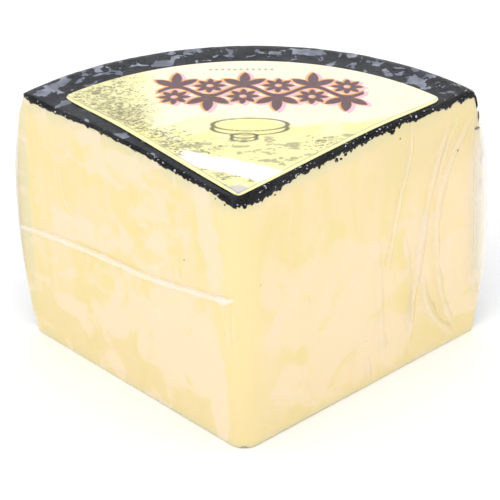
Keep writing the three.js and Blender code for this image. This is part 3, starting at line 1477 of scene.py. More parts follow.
@dataclass
class TopLabel(Piece):
    """The printed paper label on the coat's top face."""

    wedge: Wedge
    name: str = "paper_label"
    node: str = "top_label"
    slot: Slot = Slot.PAPER
    gap: float = 0.3 * MM
    thickness: float = 0.2 * MM
    rim_margin: float = 17.9 * MM
    right_tip_margin: float = 1.4 * MM
    right_rim_margin: float = 2.6 * MM
    left_tip_margin: float = 2.6 * MM
    left_rim_margin: float = 8.6 * MM
    tip_radius: float = 3 * MM
    corner_radius: float = 4 * MM
    left_bow: float = 0.8 * MM
    right_bow: float = 0.4 * MM
    rows: int = 250
    columns: int = 340

    def edges(self) -> tuple[np.ndarray, np.ndarray, np.ndarray, float]:
        """Where the label's edges run.

        Returns:
            Its tip, the directions of its left and right edges, and its outer radius.
        """
        wedge = self.wedge
        radius = wedge.rim_radius - self.rim_margin
        ends = {}
        for side, near, far in (
            (Side.LEFT, self.left_tip_margin, self.left_rim_margin),
            (Side.RIGHT, self.right_tip_margin, self.right_rim_margin),
        ):
            start = wedge.cut_point(side, np.array(0.0), np.array(-near))
            end = wedge.cut_point(side, np.array(radius), np.array(-far))
            ends[side] = (start, (end - start) / np.linalg.norm(end - start))
        (a, u), (c, v) = ends[Side.LEFT], ends[Side.RIGHT]
        across = c - a
        share = (across[0] * v[1] - across[1] * v[0]) / (u[0] * v[1] - u[1] * v[0])
        return a + share * u, u, v, radius

    def build(self) -> bpy.types.Object:
        """Build and dress the label.

        Returns:
            The label.
        """
        wedge = self.wedge
        tip, leftward, rightward, radius = self.edges()
        angles = []
        for direction in (leftward, rightward):
            corner = tip + direction * wedge.reach(tip, direction, radius)
            angles.append(math.atan2(corner[1], corner[0]))
        turn = np.linspace(angles[0], angles[1], self.columns)
        from_end = radius * np.minimum(angles[0] - turn, turn - angles[1])
        short = np.clip(self.corner_radius - from_end, 0, None)
        pulled = self.corner_radius - np.sqrt(self.corner_radius ** 2 - short ** 2)
        arc = (radius - pulled)[:, None] * np.stack([np.cos(turn), np.sin(turn)], 1)
        spread = np.linspace(0, 1, self.columns)[:, None]
        start = tip + self.tip_radius * (
            (1 - spread) ** 2 * leftward + spread ** 2 * rightward
        )
        share = np.linspace(0, 1, self.rows)[:, None, None]
        bend = np.sin(math.pi * share)
        left = self.left_bow * bend * (1 - spread) ** 2
        right = self.right_bow * bend * spread ** 2
        plan = start + share * (arc - start)
        plan = plan + left * wedge.normal(Side.LEFT) + right * wedge.normal(Side.RIGHT)
        plan = plan.reshape(-1, 2)
        sheet = Profile.of(wedge, self.gap + self.thickness)
        height = sheet.top_height(np.linalg.norm(plan, axis=1))
        points = np.column_stack([plan, height])
        faces = grid_faces(self.rows, self.columns)[:, ::-1]
        art = LabelArt(tip, leftward, rightward)
        printed = np.column_stack([art.colours(plan), art.stipple(plan)])
        points, faces, printed = self.turned_down(points, faces, printed)
        values = {"print": printed[:, :3], "stipple": printed[:, 3]}
        piece = make_object(self.name, wedge.placed(points), faces, values)
        return self.settle(piece, PaperFinish().build())

    def turned_down(self, points: np.ndarray, faces: np.ndarray, art: np.ndarray
                    ) -> tuple[np.ndarray, np.ndarray, np.ndarray]:
        """Add the sheet's cut edge all round it.

        Args:
            points: The sheet's points.
            faces: The sheet's quads.
            art: The sheet's colours.

        Returns:
            The points, quads and colours with the edge added.
        """
        numbers = np.arange(len(points)).reshape(self.rows, self.columns)
        loop = np.concatenate([
            numbers[0, :-1], numbers[:-1, -1], numbers[-1, :0:-1], numbers[:0:-1, 0]
        ])
        lower = points[loop] - [0, 0, self.thickness]
        first = len(points)
        new = first + np.arange(len(loop))
        wall = np.column_stack([loop, np.roll(loop, -1), np.roll(new, -1), new])
        return (
            np.vstack([points, lower]),
            np.vstack([faces, wall[:, ::-1]]),
            np.vstack([art, art[loop]]),
        )


@dataclass(frozen=True)
class DrawnWheel:
    """A plain cheese wheel drawn in outline: its top's middle and half sizes, and its depth."""

    middle: Place
    half: Place
    depth: float

    def line(self, x: np.ndarray, y: np.ndarray) -> np.ndarray:
        """Distance from the drawing's lines.

        Args:
            x: Points across the label.
            y: Points up the label.

        Returns:
            One distance for each point, or 9 where there is nothing near.
        """
        (cx, cy), (rx, ry) = self.middle, self.half
        line = np.full(len(x), 9.0)
        for drop in (0, self.depth):
            ring = np.hypot((x - cx) / rx, (y - cy + drop) / ry) - 1
            ring = np.abs(ring) * min(rx, ry) * 1.2
            line = np.minimum(line, np.where((drop == 0) | (y < cy - drop * 0.6), ring, 9))
        walls = np.abs(np.abs(x - cx) - rx)
        walls = np.where((y < cy) & (y > cy - self.depth), walls, 9)
        return np.minimum(line, walls)


@dataclass(frozen=True)
class LabelArt:
    """A plain printed landscape under a flowering vine, worked out in millimetres."""

    tip: np.ndarray
    leftward: np.ndarray
    rightward: np.ndarray
    sky: Colour = srgb(250, 244, 216)
    cloud: Colour = srgb(250, 243, 204)
    hill: Colour = srgb(244, 238, 158)
    wood: Colour = srgb(172, 165, 112)
    field_green: Colour = srgb(246, 241, 174)
    river: Colour = srgb(255, 255, 250)
    line: Colour = srgb(249, 243, 176)
    grey: Colour = srgb(120, 116, 104)
    maroon: Colour = srgb(96, 66, 74)
    orange: Colour = srgb(255, 178, 108)
    pink: Colour = srgb(246, 190, 204)
    lilac: Colour = srgb(196, 190, 202)
    ink: Colour = srgb(70, 60, 48)
    vine_start: float = -38.0
    vine_height: float = 86.5
    vine_swing: float = 4.6
    pitch: float = 14.4
    bends: int = 6
    petals: int = 8
    wheels: tuple[DrawnWheel, ...] = (
        DrawnWheel((2, 57), (15.5, 5.2), 3.2),
        DrawnWheel((0, 48), (5.2, 2.0), 2.4),
    )
    dots_middle: Place = (-4.0, 107.5)
    dots_half: float = 14.0
    dot_pitch: float = 2.6

    @staticmethod
    def paint(base: np.ndarray, colour: Colour, share: np.ndarray) -> np.ndarray:
        """Lay a colour over the print so far, by share."""
        return base + np.clip(share, 0, 1)[:, None] * (np.array(colour[:3]) - base)

    def colours(self, plan: np.ndarray) -> np.ndarray:
        """The printed colour at each point of the label.

        Args:
            plan: The (x, y) points about the wheel's axis.

        Returns:
            The linear colours, one row each.
        """
        x, y = plan[:, 0] / MM, plan[:, 1] / MM
        place = np.column_stack([x, y])
        grain = fractal(place, 1.5, 41, 2)
        fine = fractal(np.column_stack([x / 1.6, y]), 0.9, 45, 2)
        cloud = fractal(place, 9, 43, 3)
        left = self.from_edge(plan, self.leftward)
        base = np.repeat(np.array([self.sky[:3]]), len(plan), axis=0)
        base = self.paint(base, self.cloud, smoothstep(-0.1, 0.8, cloud) * 0.5)
        base = self.slope(base, plan, grain, cloud)
        base = self.meadow(base, plan, fine, cloud)
        shade = smoothstep(20, 2, left) * smoothstep(30, 70, y)
        shade = shade * smoothstep(-0.1, 0.5, fine + 0.4 * grain)
        base = self.paint(base, self.wood, shade * 0.7)
        base = self.stream(base, plan, cloud)
        near_tip = smoothstep(17, 11, y) * smoothstep(-0.2, 0.4, grain)
        base = self.paint(base, self.field_green, near_tip * 0.6)
        spot = smoothstep(5.5, 3, np.hypot(x + 0.5, y - 5.5))
        base = self.paint(base, self.lilac, spot * 0.8)
        base = self.frieze(base, x, y)
        base = self.badge(base, x, y)
        return self.border(base, plan)

    def slope(self, base: np.ndarray, plan: np.ndarray, grain: np.ndarray, cloud: np.ndarray
              ) -> np.ndarray:
        """Print the wooded slope on the left.

        Args:
            base: The colours printed so far.
            plan: The (x, y) points about the wheel's axis.
            grain: Small noise at each point.
            cloud: Broad noise at each point.

        Returns:
            The colours with the slope.
        """
        x, y = plan[:, 0] / MM, plan[:, 1] / MM
        slope = smoothstep(6, -6, x + 40 + 5 * cloud + 0.12 * (y - 80))
        base = self.paint(base, self.field_green, slope * 0.85)
        depth = smoothstep(46, 4, self.from_edge(plan, self.leftward))
        leaves = smoothstep(0.1, 0.9, 0.4 * grain + 0.5 * cloud + 0.5 * depth)
        return self.paint(base, self.wood, slope * leaves * (0.1 + 0.4 * depth))

    def meadow(self, base: np.ndarray, plan: np.ndarray, fine: np.ndarray, cloud: np.ndarray
               ) -> np.ndarray:
        """Print the meadow hills across the middle, and the fields under them.

        Args:
            base: The colours printed so far.
            plan: The (x, y) points about the wheel's axis.
            fine: Fine noise at each point.
            cloud: Broad noise at each point.

        Returns:
            The colours with the meadow.
        """
        x, y = plan[:, 0] / MM, plan[:, 1] / MM
        streak = fractal(np.column_stack([x / 2.4, y]), 2.2, 47, 3)
        crest = 60 + 3.5 * np.sin((x + 24) / 11) + 1.5 * np.sin(x / 4.3)
        meadow = smoothstep(1.5, -1.5, y - crest)
        base = self.paint(base, self.hill, meadow * 0.9)
        base = self.paint(base, self.sky, meadow * smoothstep(0.1, 0.8, cloud) * 0.5)
        low = smoothstep(2, -3, y - 47 - 0.1 * x)
        base = self.paint(base, self.field_green, low * 0.8)
        rough = smoothstep(0.05, 0.5, streak + 0.25 * cloud)
        base = self.paint(base, self.wood, low * rough * 0.36)
        dark = smoothstep(0.45, 0.7, streak + 0.5 * fine)
        return self.paint(base, self.grey, low * dark * 0.48)

    def stream(self, base: np.ndarray, plan: np.ndarray, cloud: np.ndarray) -> np.ndarray:
        """Print the pale river.

        Args:
            base: The colours printed so far.
            plan: The (x, y) points about the wheel's axis.
            cloud: Broad noise at each point.

        Returns:
            The colours with the river.
        """
        x, y = plan[:, 0] / MM, plan[:, 1] / MM
        width = 6.4 + 0.05 * x
        river = smoothstep(width + 1, width - 1, np.abs(y - self.river_bank(x, cloud)))
        return self.paint(base, self.river, river * smoothstep(26, 18, np.abs(x + 3)))

    def stipple(self, plan: np.ndarray) -> np.ndarray:
        """How readily the printed scene breaks up into dark dots at each point.

        Args:
            plan: The (x, y) points about the wheel's axis.

        Returns:
            One value for each point: about 0.15 where it is thickest, below 0 where it is clear.
        """
        x, y = plan[:, 0] / MM, plan[:, 1] / MM
        place = np.column_stack([x, y])
        cloud = fractal(place, 8, 43, 3)
        left = self.from_edge(plan, self.leftward)
        slope = smoothstep(6, -8, x + 38 + 5 * cloud + 0.1 * (y - 80))
        wood = slope * (0.07 + 0.09 * smoothstep(30, 4, left) + 0.06 * cloud)
        under = smoothstep(62, 50, y) * smoothstep(24, 8, left) * smoothstep(16, 26, y) * 0.16
        shore = smoothstep(4, -3, y - 44 - 0.1 * x) * smoothstep(8, 16, y) * (0.05 + 0.1 * cloud)
        clear = smoothstep(1.6, 3, left) * smoothstep(1.6, 3, self.from_edge(plan, self.rightward))
        river = smoothstep(7.5, 5.5, np.abs(y - self.river_bank(x, cloud)))
        thick = np.maximum.reduce([wood, under, shore])
        thick = thick - 0.14 * river * smoothstep(24, 16, np.abs(x + 3))
        return np.where(thick > 0.005, thick, -0.3) * clear - 0.3 * (1 - clear)

    @staticmethod
    def river_bank(x: np.ndarray, cloud: np.ndarray) -> np.ndarray:
        """Height of the river's middle line on the label."""
        return 30 - 0.42 * (x + 20) + 1.6 * cloud

    def from_edge(self, plan: np.ndarray, direction: np.ndarray) -> np.ndarray:
        """Distance in from one of the label's straight edges, in millimetres."""
        offset = plan - self.tip
        return np.abs(offset[:, 0] * direction[1] - offset[:, 1] * direction[0]) / MM

    def border(self, base: np.ndarray, plan: np.ndarray) -> np.ndarray:
        """Print the pale line along the two straight edges, with a thin grey line inside it.

        Args:
            base: The colours printed so far.
            plan: The (x, y) points about the wheel's axis.

        Returns:
            The colours with the lines.
        """
        for direction in (self.leftward, self.rightward):
            inward = self.from_edge(plan, direction)
            base = self.paint(base, self.line, smoothstep(1.5, 1.1, inward))
            base = self.paint(base, self.grey, smoothstep(0.45, 0.15, np.abs(inward - 1.8)) * 0.45)
        return base

    @staticmethod
    def leaf(x: np.ndarray, y: np.ndarray, centre: Place, height: float,
             width: float, lean: float) -> np.ndarray:
        """Distance outside an upright pointed leaf, below 0 inside it.

        Args:
            x: Points across the label.
            y: Points up the label.
            centre: The leaf's middle.
            height: The leaf's length.
            width: The leaf's breadth.
            lean: How far it leans, in radians.

        Returns:
            The distances.
        """
        dx, dy = x - centre[0], y - centre[1]
        across = dx * math.cos(lean) - dy * math.sin(lean)
        along = dx * math.sin(lean) + dy * math.cos(lean)
        arc = (height ** 2 / 4 + width ** 2 / 4) / width
        return np.hypot(np.abs(across) + arc - width / 2, along) - arc

    def frieze_shape(self, x: np.ndarray, y: np.ndarray) -> np.ndarray:
        """Distance outside a wavy vine with a flower or a fan of leaves in each bend.

        Args:
            x: Points across the label.
            y: Points up the label.

        Returns:
            The distances, below 0 inside the print.
        """
        swing = 2 * math.pi / (2 * self.pitch)
        wave = self.vine_height + self.vine_swing * np.sin(swing * (x - self.vine_start))
        shape = np.abs(y - wave) * 0.8 - 1.3
        half = self.bends / 2 * self.pitch
        shape = np.maximum(shape, np.abs(x - self.vine_start - half) - half)
        for number in range(self.bends):
            middle = self.vine_start + self.pitch * (number + 0.5)
            way = 1 if number % 2 == 0 else -1
            bend = self.vine_height + way * self.vine_swing
            heart = (middle, bend - way * 9.8)
            for petal in range(self.petals):
                turn = petal * 2 * math.pi / self.petals
                place = (heart[0] + 3.9 * math.sin(turn), heart[1] + 3.9 * math.cos(turn))
                shape = np.minimum(shape, self.leaf(x, y, place, 6.4, 2.9, turn))
            eye = 1.5 - np.hypot(x - heart[0], y - heart[1])
            shape = np.maximum(shape, eye)
            for lean, length in ((-0.95, 11), (0.0, 13), (0.95, 11)):
                run = 0.5 * length
                place = (middle + run * math.sin(lean), bend + way * (run * math.cos(lean) + 0.8))
                shape = np.minimum(shape, self.leaf(x, y, place, length, 4.6, way * lean))
        return shape

    def frieze(self, base: np.ndarray, x: np.ndarray, y: np.ndarray) -> np.ndarray:
        """Print the vine with its warm edge and its pale shadow, and a row of dots over it.

        Args:
            base: The colours printed so far.
            x: Points across the label.
            y: Points up the label.

        Returns:
            The colours with the vine and the dots.
        """
        shadow = self.frieze_shape(x - 1.3, y + 0.9)
        base = self.paint(base, self.pink, smoothstep(0.8, 0.3, shadow))
        glow = self.frieze_shape(x + 0.6, y - 0.2)
        base = self.paint(base, self.orange, smoothstep(0.75, 0.25, glow))
        shape = self.frieze_shape(x, y)
        base = self.paint(base, self.maroon, smoothstep(0.25, -0.25, shape))
        along, above = x - self.dots_middle[0], y - self.dots_middle[1]
        half = self.dot_pitch / 2
        dots = np.hypot((along + half) % self.dot_pitch - half, above * 0.8) - 0.7
        dots = np.where(np.abs(along) < self.dots_half, dots, 9)
        return self.paint(base, self.ink, smoothstep(0.3, -0.3, dots) * 0.6)

    def badge(self, base: np.ndarray, x: np.ndarray, y: np.ndarray) -> np.ndarray:
        """Print two plain cheese wheels in outline.

        Args:
            base: The colours printed so far.
            x: Points across the label.
            y: Points up the label.

        Returns:
            The colours with the wheels.
        """
        for wheel in self.wheels:
            base = self.paint(base, self.ink, smoothstep(0.6, 0.2, wheel.line(x, y)) * 0.85)
        return base


@dataclass(frozen=True)
class FilmBulge:
    """A place at a rim corner where the film stands full and white, in millimetres."""

    side: Side
    along: float
    foot: Place
    head: Place
    depth: float
    weld: float
    spread: float = 6.0
    shade: float = 0.0

    def share(self, wedge: Wedge, points: np.ndarray) -> np.ndarray:
        """How far into the bulge each point is.

        Args:
            wedge: The wedge.
            points: The film's points.

        Returns:
            1 at the bulge's middle, falling to 0 outside it.
        """
        middle = wedge.cut_point(self.side, np.array(self.along * MM), np.array(0.0))
        away = np.linalg.norm(points[:, :2] - middle, axis=1) / MM / self.spread
        height = points[:, 2] / MM
        return np.exp(-away ** 2) * smoothstep(*self.foot, height) * smoothstep(*self.head, height)

    def push(self, wedge: Wedge) -> np.ndarray:
        """The bulge's reach at its middle, straight out from the wedge."""
        out = wedge.normal(self.side) + wedge.direction(self.side)
        return np.array([*(out / np.linalg.norm(out)), 0.0]) * self.depth * MM


@dataclass
class FilmBag(Piece):
    """The clear bag, drawn tight over the wedge and full at its rim corners."""

    wedge: Wedge
    name: str = "film_wrap"
    node: str = "film_bag"
    slot: Slot = Slot.FILM
    grow: float = 0.6 * MM
    lift: float = 0.3 * MM
    edge: float = 1.4 * MM
    low_edge: float = 0.6 * MM
    corner_radius: float = 2 * MM
    bulges: tuple[FilmBulge, ...] = (
        FilmBulge(Side.RIGHT, 138, (4, 38), (114, 84), 1.0, 0.66),
        FilmBulge(Side.LEFT, 138, (45, 80), (121, 112), 0.4, 0.02),
        FilmBulge(Side.LEFT, 139.5, (2, 14), (119, 108), 0.5, 0.34, 2.4, 1.0),
    )
    columns: Columns = Columns(cut=150, tip=20, corner=8, arc=120)

    def build(self) -> bpy.types.Object:
        """Build and dress the bag.

        Returns:
            The bag.
        """
        wedge = self.wedge
        outline = Outline(wedge, self.columns, self.corner_radius)
        profile = Profile.of(wedge, self.grow, self.lift)
        body = Body(outline, profile, self.edge, self.low_edge, cap=16, rounding=5, sides=140)
        rings = body.all_rings()
        points = rings.reshape(-1, 3)
        quads = ring_faces(*rings.shape[:2]).reshape(-1, 4)
        normals = point_normals(points, quads)
        upright = smoothstep(0.7, 0.3, np.abs(normals[:, 2]))
        cutness = np.tile(outline.cutness, len(rings)) * upright
        points = points + normals * ((self.grow + self.waves(points)) * cutness)[:, None]
        weld, shade = np.zeros(len(points)), np.zeros(len(points))
        for bulge in self.bulges:
            share = bulge.share(wedge, points)
            points = points + share[:, None] * bulge.push(wedge)
            weld += bulge.weld * share
            shade += bulge.shade * share
        values = {"weld": weld, "shade": shade}
        faces = closed_ring_faces(*rings.shape[:2])
        piece = make_object(self.name, wedge.placed(points), faces, values)
        return self.settle(piece, FilmFinish().build())

    @staticmethod
    def waves(points: np.ndarray) -> np.ndarray:
        """Slight slackness of the film, drawn out upwards."""
        return fractal(points * np.array([1, 1, 0.35]), 9 * MM, 71, 2) * 0.1 * MM


@dataclass(frozen=True)
class Pleat:
    """A tuck in the film along a path up a cut face, in millimetres."""

    side: Side
    path: tuple[Place, ...]
    breadth: float = 1.9
    height: float = 0.5
    weld: float = 0.25


def smooth_path(path: tuple[Place, ...], step: float) -> np.ndarray:
    """A rounded path through a few points.

    Args:
        path: The points.
        step: The distance between the result's points.

    Returns:
        The rounded path's points.
    """
    knots = np.array(path, float)
    ends = np.vstack([2 * knots[0] - knots[1], knots, 2 * knots[-1] - knots[-2]])
    pieces = []
    for a, b, c, d in zip(ends[:-3], ends[1:-2], ends[2:-1], ends[3:]):
        count = max(2, int(np.linalg.norm(c - b) / step))
        t = np.linspace(0, 1, count, endpoint=False)[:, None]
        pieces.append(0.5 * (2 * b + (c - a) * t + (2 * a - 5 * b + 4 * c - d) * t ** 2
                             + (3 * b - a - 3 * c + d) * t ** 3))
    return np.vstack([*pieces, knots[-1:]])


def strip_places(line: np.ndarray, breadth: np.ndarray, across: np.ndarray) -> np.ndarray:
    """Places over a strip that follows a path.

    Args:
        line: The path's points.
        breadth: The strip's breadth at each of them.
        across: Where each column lies across it, as a share of its breadth.

    Returns:
        The places, in an array (points, columns, 2).
    """
    heading = np.gradient(line, axis=0)
    heading /= np.linalg.norm(heading, axis=1, keepdims=True)
    aside = np.stack([-heading[:, 1], heading[:, 0]], axis=1)
    return line[:, None] + aside[:, None] * (breadth[:, None] * across)[..., None]


@dataclass
class FilmPleats(Piece):
    """The thin tucks where the shrunk film folded on itself."""

    wedge: Wedge
    name: str = "film_pleats"
    node: str = "film_bag"
    slot: Slot = Slot.FILM
    off: float = 0.75 * MM
    strips: int = 11
    pleats: tuple[Pleat, ...] = (
        Pleat(Side.RIGHT, ((97, 121), (96, 104), (90, 85), (85, 65), (81, 48)), 1.2),
        Pleat(Side.RIGHT, ((120, 113), (111, 92), (105, 72), (101, 50), (97, 32), (94, 6)), 2.2),
        Pleat(Side.RIGHT, ((133, 110), (120, 92), (113, 75), (111, 58), (112, 44)), 2.2),
        Pleat(Side.RIGHT, ((103, 42), (105, 28), (112, 14), (122, 3)), 2.4),
        Pleat(Side.RIGHT, ((111, 46), (115, 24), (121, 8)), 1.6),
        Pleat(Side.RIGHT, ((92, 70), (95, 40), (93, 16)), 1.5, 0.3, 0.14),
        Pleat(Side.RIGHT, ((70, 16), (71, 2)), 1.6, 0.3, 0.16),
        Pleat(Side.RIGHT, ((77, 72), (78, 34), (80, 10)), 2.0, 0.3, 0.12),
        Pleat(Side.RIGHT, ((125, 112), (118, 100), (112, 84)), 1.0, 0.3, 0.16),
        Pleat(Side.LEFT, ((110, 100), (109, 84), (106, 75), (98, 71)), 1.2, 0.3, 0.1),
        Pleat(Side.LEFT, ((6.5, 70), (7.2, 58), (6.0, 46)), 0.9, 0.3, 0.16),
        Pleat(Side.LEFT, ((4.0, 69), (4.2, 60), (3.8, 50)), 0.7, 0.3, 0.16),
    )

    def build(self) -> bpy.types.Object:
        """Build and dress the pleats.

        Returns:
            The pleats, as one piece.
        """
        points, faces, weld, shade = [], [], [], []
        for pleat in self.pleats:
            ribbon, strength, shadow = self.ribbon(pleat)
            first = sum(len(block) for block in points)
            rows = len(ribbon) // self.strips
            faces += (grid_faces(rows, self.strips) + first).tolist()
            points.append(ribbon)
            weld.append(strength)
            shade.append(shadow)
        values = {"weld": np.concatenate(weld), "shade": np.concatenate(shade)}
        piece = make_object(self.name, self.wedge.placed(np.vstack(points)), faces, values)
        return self.settle(piece, FilmFinish().build())

    def ribbon(self, pleat: Pleat) -> tuple[np.ndarray, np.ndarray, np.ndarray]:
        """One pleat's points, with how milky and how shaded each is.

        Args:
            pleat: The pleat.

        Returns:
            The points in rows across the pleat, their milkiness and their shade.
        """
        line = smooth_path(pleat.path, 0.8)
        run = np.linspace(0, 1, len(line))
        taper = np.minimum(1, np.minimum(run, 1 - run) * 7) ** 0.7 + 0.02
        wander = 0.2 * np.sin(run * 13 + line[0, 0]) + 0.08 * np.sin(run * 31)
        across = np.linspace(-1, 1, self.strips)
        breadth = 1.25 * pleat.breadth * taper * (1 + wander)
        place = strip_places(line, breadth, across)
        rise = pleat.height * taper[:, None] * (1 - across ** 2) ** 0.5
        points = self.wedge.laid_on(pleat.side, place, self.off + rise * MM)
        fold = 0.75 * np.exp(-((across + 0.2) / 0.35) ** 2) + 0.25
        under = np.exp(-((across - 0.6) / 0.26) ** 2)
        ends = np.minimum(1, taper)[:, None]
        strength = pleat.weld * ends * (fold * (1 - under) + 0.9 * under)
        shadow = np.broadcast_to(under, strength.shape)
        return points, strength.ravel(), shadow.ravel()


@dataclass
class EndSeal(Piece):
    """The bag's welded end seal, folded flat down the left face, with a turned ear."""

    wedge: Wedge
    name: str = "film_end_seal"
    node: str = "film_bag"
    slot: Slot = Slot.FILM
    off: float = 0.75 * MM
    path: tuple[Place, ...] = (
        (138.6, 50.8), (120.6, 54.2), (101.5, 56.8), (78.6, 59.4), (58.3, 61.2),
        (38.3, 64.9), (18.6, 69.1), (9, 71.2), (3.4, 73.2),
    )
    breadth: float = 3.3
    ear: float = 1.0

    def build(self) -> bpy.types.Object:
        """Build and dress the seal.

        Returns:
            The seal.
        """
        line = smooth_path(self.path, 0.7)
        to_tip = line[:, 0]
        ear = np.exp(-((to_tip - 7) / 5) ** 2)
        end = smoothstep(2.6, 9, to_tip)
        breadth = (self.breadth + self.ear * ear) * (0.15 + 0.85 * end)
        breadth *= 1 + 0.12 * np.sin(to_tip / 3.1) + 0.08 * np.sin(to_tip / 1.3)
        across = np.linspace(-0.5, 0.5, 11)
        place = strip_places(line, breadth, across)
        fold = 0.2 * np.cos(across * math.pi) ** 0.5 + 0.06 * (across + 0.5)
        fold -= 0.45 * smoothstep(-0.1, -0.5, across)
        ripple = 0.06 * np.sin(to_tip / 1.7)[:, None] * (across + 0.5)
        rise = (fold + ripple + 0.4 * ear[:, None] * (across + 0.5)) * MM
        points = self.wedge.laid_on(Side.LEFT, place, self.off + rise)
        faces = grid_faces(len(line), len(across))
        streak = (0.5 + 0.16 * ear)[:, None] * (0.1 + 0.9 * np.cos(across * math.pi) ** 0.7)
        values = {"weld": streak.ravel()}
        piece = make_object(self.name, self.wedge.placed(points), faces, values)
        return self.settle(piece, FilmFinish().build())


@dataclass(frozen=True)
class Crumb:
    """A crumb of wax pressed on a cut face, in millimetres along it and up it."""

    side: Side
    place: Place
    size: float
    squash: float = 1.0


@dataclass
class WaxCrumbs(Piece):
    """Crumbs of wax that the knife carried over the cut faces."""

    wedge: Wedge
    name: str = "wax_crumbs"
    node: str = "wax_coat"
    slot: Slot = Slot.WAX
    crumbs: tuple[Crumb, ...] = (
        Crumb(Side.RIGHT, (86.5, 118.2), 1.5, 0.8),
        Crumb(Side.RIGHT, (18.6, 117.4), 0.9, 0.7),
        Crumb(Side.RIGHT, (55, 118.2), 1.0),
        Crumb(Side.RIGHT, (57.5, 117.8), 0.6),
        Crumb(Side.RIGHT, (60, 118.8), 0.8, 0.7),
        Crumb(Side.RIGHT, (21, 116.2), 0.45),
        Crumb(Side.RIGHT, (99, 119.3), 1.1, 0.6),
        Crumb(Side.RIGHT, (91, 113.5), 0.3),
        Crumb(Side.RIGHT, (124.5, 94), 0.35, 1.6),
        Crumb(Side.RIGHT, (70, 23), 0.35, 0.5),
        Crumb(Side.RIGHT, (72.6, 23.4), 0.3, 0.5),
        Crumb(Side.RIGHT, (12, 77), 0.25),
        Crumb(Side.RIGHT, (37, 112), 0.25),
        Crumb(Side.RIGHT, (135.6, 100.2), 1.5, 0.45),
        Crumb(Side.RIGHT, (136.6, 106), 0.45, 6),
        Crumb(Side.RIGHT, (138.2, 73), 0.6, 2.4),
        Crumb(Side.RIGHT, (138.4, 84), 0.3, 9),
        Crumb(Side.LEFT, (32.7, 80), 0.28),
        Crumb(Side.LEFT, (12, 118), 0.35),
        Crumb(Side.LEFT, (6.5, 117.6), 0.4),
        Crumb(Side.LEFT, (128, 80), 0.2),
    )

    def build(self) -> bpy.types.Object:
        """Build and dress the crumbs.

        Returns:
            The crumbs, as one piece.
        """
        turns = np.linspace(0, 2 * math.pi, 15)[:-1]
        slopes = np.linspace(0.12, 0.96, 6) * math.pi / 2
        points, faces = [], []
        for crumb in self.crumbs:
            ring = np.stack([
                np.outer(np.sin(slopes), np.cos(turns)),
                np.outer(np.sin(slopes), np.sin(turns)),
                np.outer(np.cos(slopes), np.ones(len(turns))),
            ], axis=-1).reshape(-1, 3)
            seed = np.array([*crumb.place, crumb.size])
            ring *= 1 + 0.45 * fractal(ring + seed, 0.9, 91, 2)[:, None]
            along = (crumb.place[0] + ring[:, 0] * crumb.size) * MM
            height = (crumb.place[1] + ring[:, 1] * crumb.size * crumb.squash) * MM
            out = (0.55 * ring[:, 2] * min(crumb.size, 0.9) - 0.05) * MM
            plan = self.wedge.cut_point(crumb.side, along, out)
            first = sum(len(block) for block in points)
            quads = ring_faces(len(slopes), len(turns)).reshape(-1, 4) + first
            faces += quads.tolist() + [(np.arange(len(turns)) + first).tolist()]
            points.append(np.column_stack([plan, height]))
        everything = np.vstack(points)
        # the crumbs count as smeared wax, so they get painted glints and no painted sheen
        values = {"smear": np.ones(len(everything)), "film_sheen": np.full(len(everything), -1.0)}
        piece = make_object(self.name, self.wedge.placed(everything), faces, values)
        return self.settle(piece, WaxFinish().build())


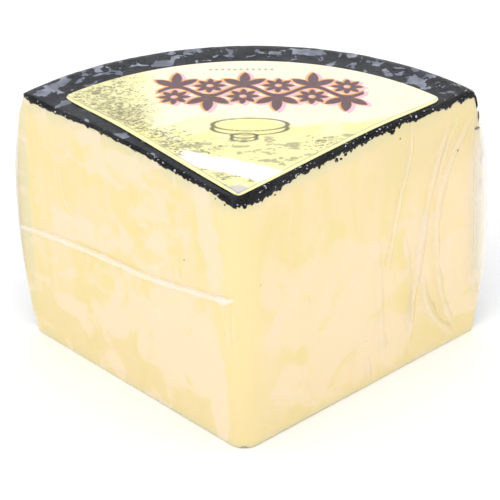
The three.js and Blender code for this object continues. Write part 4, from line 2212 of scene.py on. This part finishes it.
@dataclass
class Studio:
    """The pale floor, the soft light and the camera."""

    floor_size: float = 6.0
    floor_tone: Colour = srgb(253, 253, 253)
    floor_speck: Colour = srgb(244, 244, 244)
    sky_strength: float = 1.13
    lamp_place: tuple[float, float, float] = (-0.3, -0.85, 1.3)
    lamp_aim: tuple[float, float, float] = (0, 0, 0.06)
    lamp_size: float = 0.9
    lamp_energy: float = 2.5
    camera_place: tuple[float, float, float] = (0.0771, -1.2825, 0.8593)
    camera_down: float = math.radians(32.065)
    camera_yaw: float = math.radians(-3.433)
    camera_roll: float = math.radians(-1.821)
    lens: float = 256.89

    def build(self) -> None:
        """Build the floor, the light and the camera."""
        self.floor()
        self.light()
        self.camera()
        bpy.context.scene.view_settings.view_transform = "Standard"

    def floor(self) -> None:
        """A wide pale floor under the wedge."""
        bpy.ops.mesh.primitive_plane_add(size=self.floor_size)
        floor = bpy.context.object
        floor.name = "floor"
        graph = Graph("floor_finish")
        glint = graph.step(graph.noise(50 * MM, detail=2), 0.3, 0.7, 0.0, 0.02)
        tone = graph.mix(glint, self.floor_tone, self.floor_speck)
        floor.data.materials.append(graph.finish(Base_Color=tone, Roughness=0.9,
                                                 Specular_IOR_Level=0.1))

    def light(self) -> None:
        """A bright even sky and one large soft lamp."""
        world = bpy.data.worlds.new("studio_sky")
        world.use_nodes = True
        shade = world.node_tree.nodes["Background"]
        shade.inputs["Color"].default_value = (1, 1, 1, 1)
        shade.inputs["Strength"].default_value = self.sky_strength
        bpy.context.scene.world = world
        lamp = bpy.data.lights.new("soft_lamp", "AREA")
        lamp.shape = "DISK"
        lamp.size = self.lamp_size
        lamp.energy = self.lamp_energy
        piece = bpy.data.objects.new("soft_lamp", lamp)
        piece.location = self.lamp_place
        aim = Vector(self.lamp_aim) - piece.location
        piece.rotation_euler = aim.to_track_quat("-Z", "Y").to_euler()
        bpy.context.scene.collection.objects.link(piece)

    def camera(self) -> None:
        """The camera, looking down at the tip."""
        down, yaw, roll = self.camera_down, self.camera_yaw, self.camera_roll
        level = math.cos(down)
        forward = Vector((math.sin(yaw) * level, math.cos(yaw) * level, -math.sin(down)))
        across = Vector((math.cos(yaw), -math.sin(yaw), 0))
        above = across.cross(forward)
        right = math.cos(roll) * across + math.sin(roll) * above
        up = math.cos(roll) * above - math.sin(roll) * across
        data = bpy.data.cameras.new("view_camera")
        data.lens = self.lens
        data.sensor_width = 36
        data.clip_start = 0.1
        camera = bpy.data.objects.new("view_camera", data)
        turn = Matrix((right, up, -forward)).transposed().to_4x4()
        camera.matrix_world = Matrix.Translation(self.camera_place) @ turn
        bpy.context.scene.collection.objects.link(camera)
        bpy.context.scene.camera = camera


def main() -> None:
    """Build every piece in order, and report it."""
    logging.basicConfig(level=logging.INFO, format="%(name)s: %(message)s")
    wedge = Wedge.from_frame()
    Studio().build()
    makers = (CheeseBlock, WaxCoat, WaxCrumbs, TopLabel, FilmBag, FilmPleats, EndSeal)
    for maker in (kind(wedge) for kind in makers):
        piece = maker.build()
        LOG.info("%s: %d points", piece.name, len(piece.data.vertices))


if __name__ == "__main__":
    main()
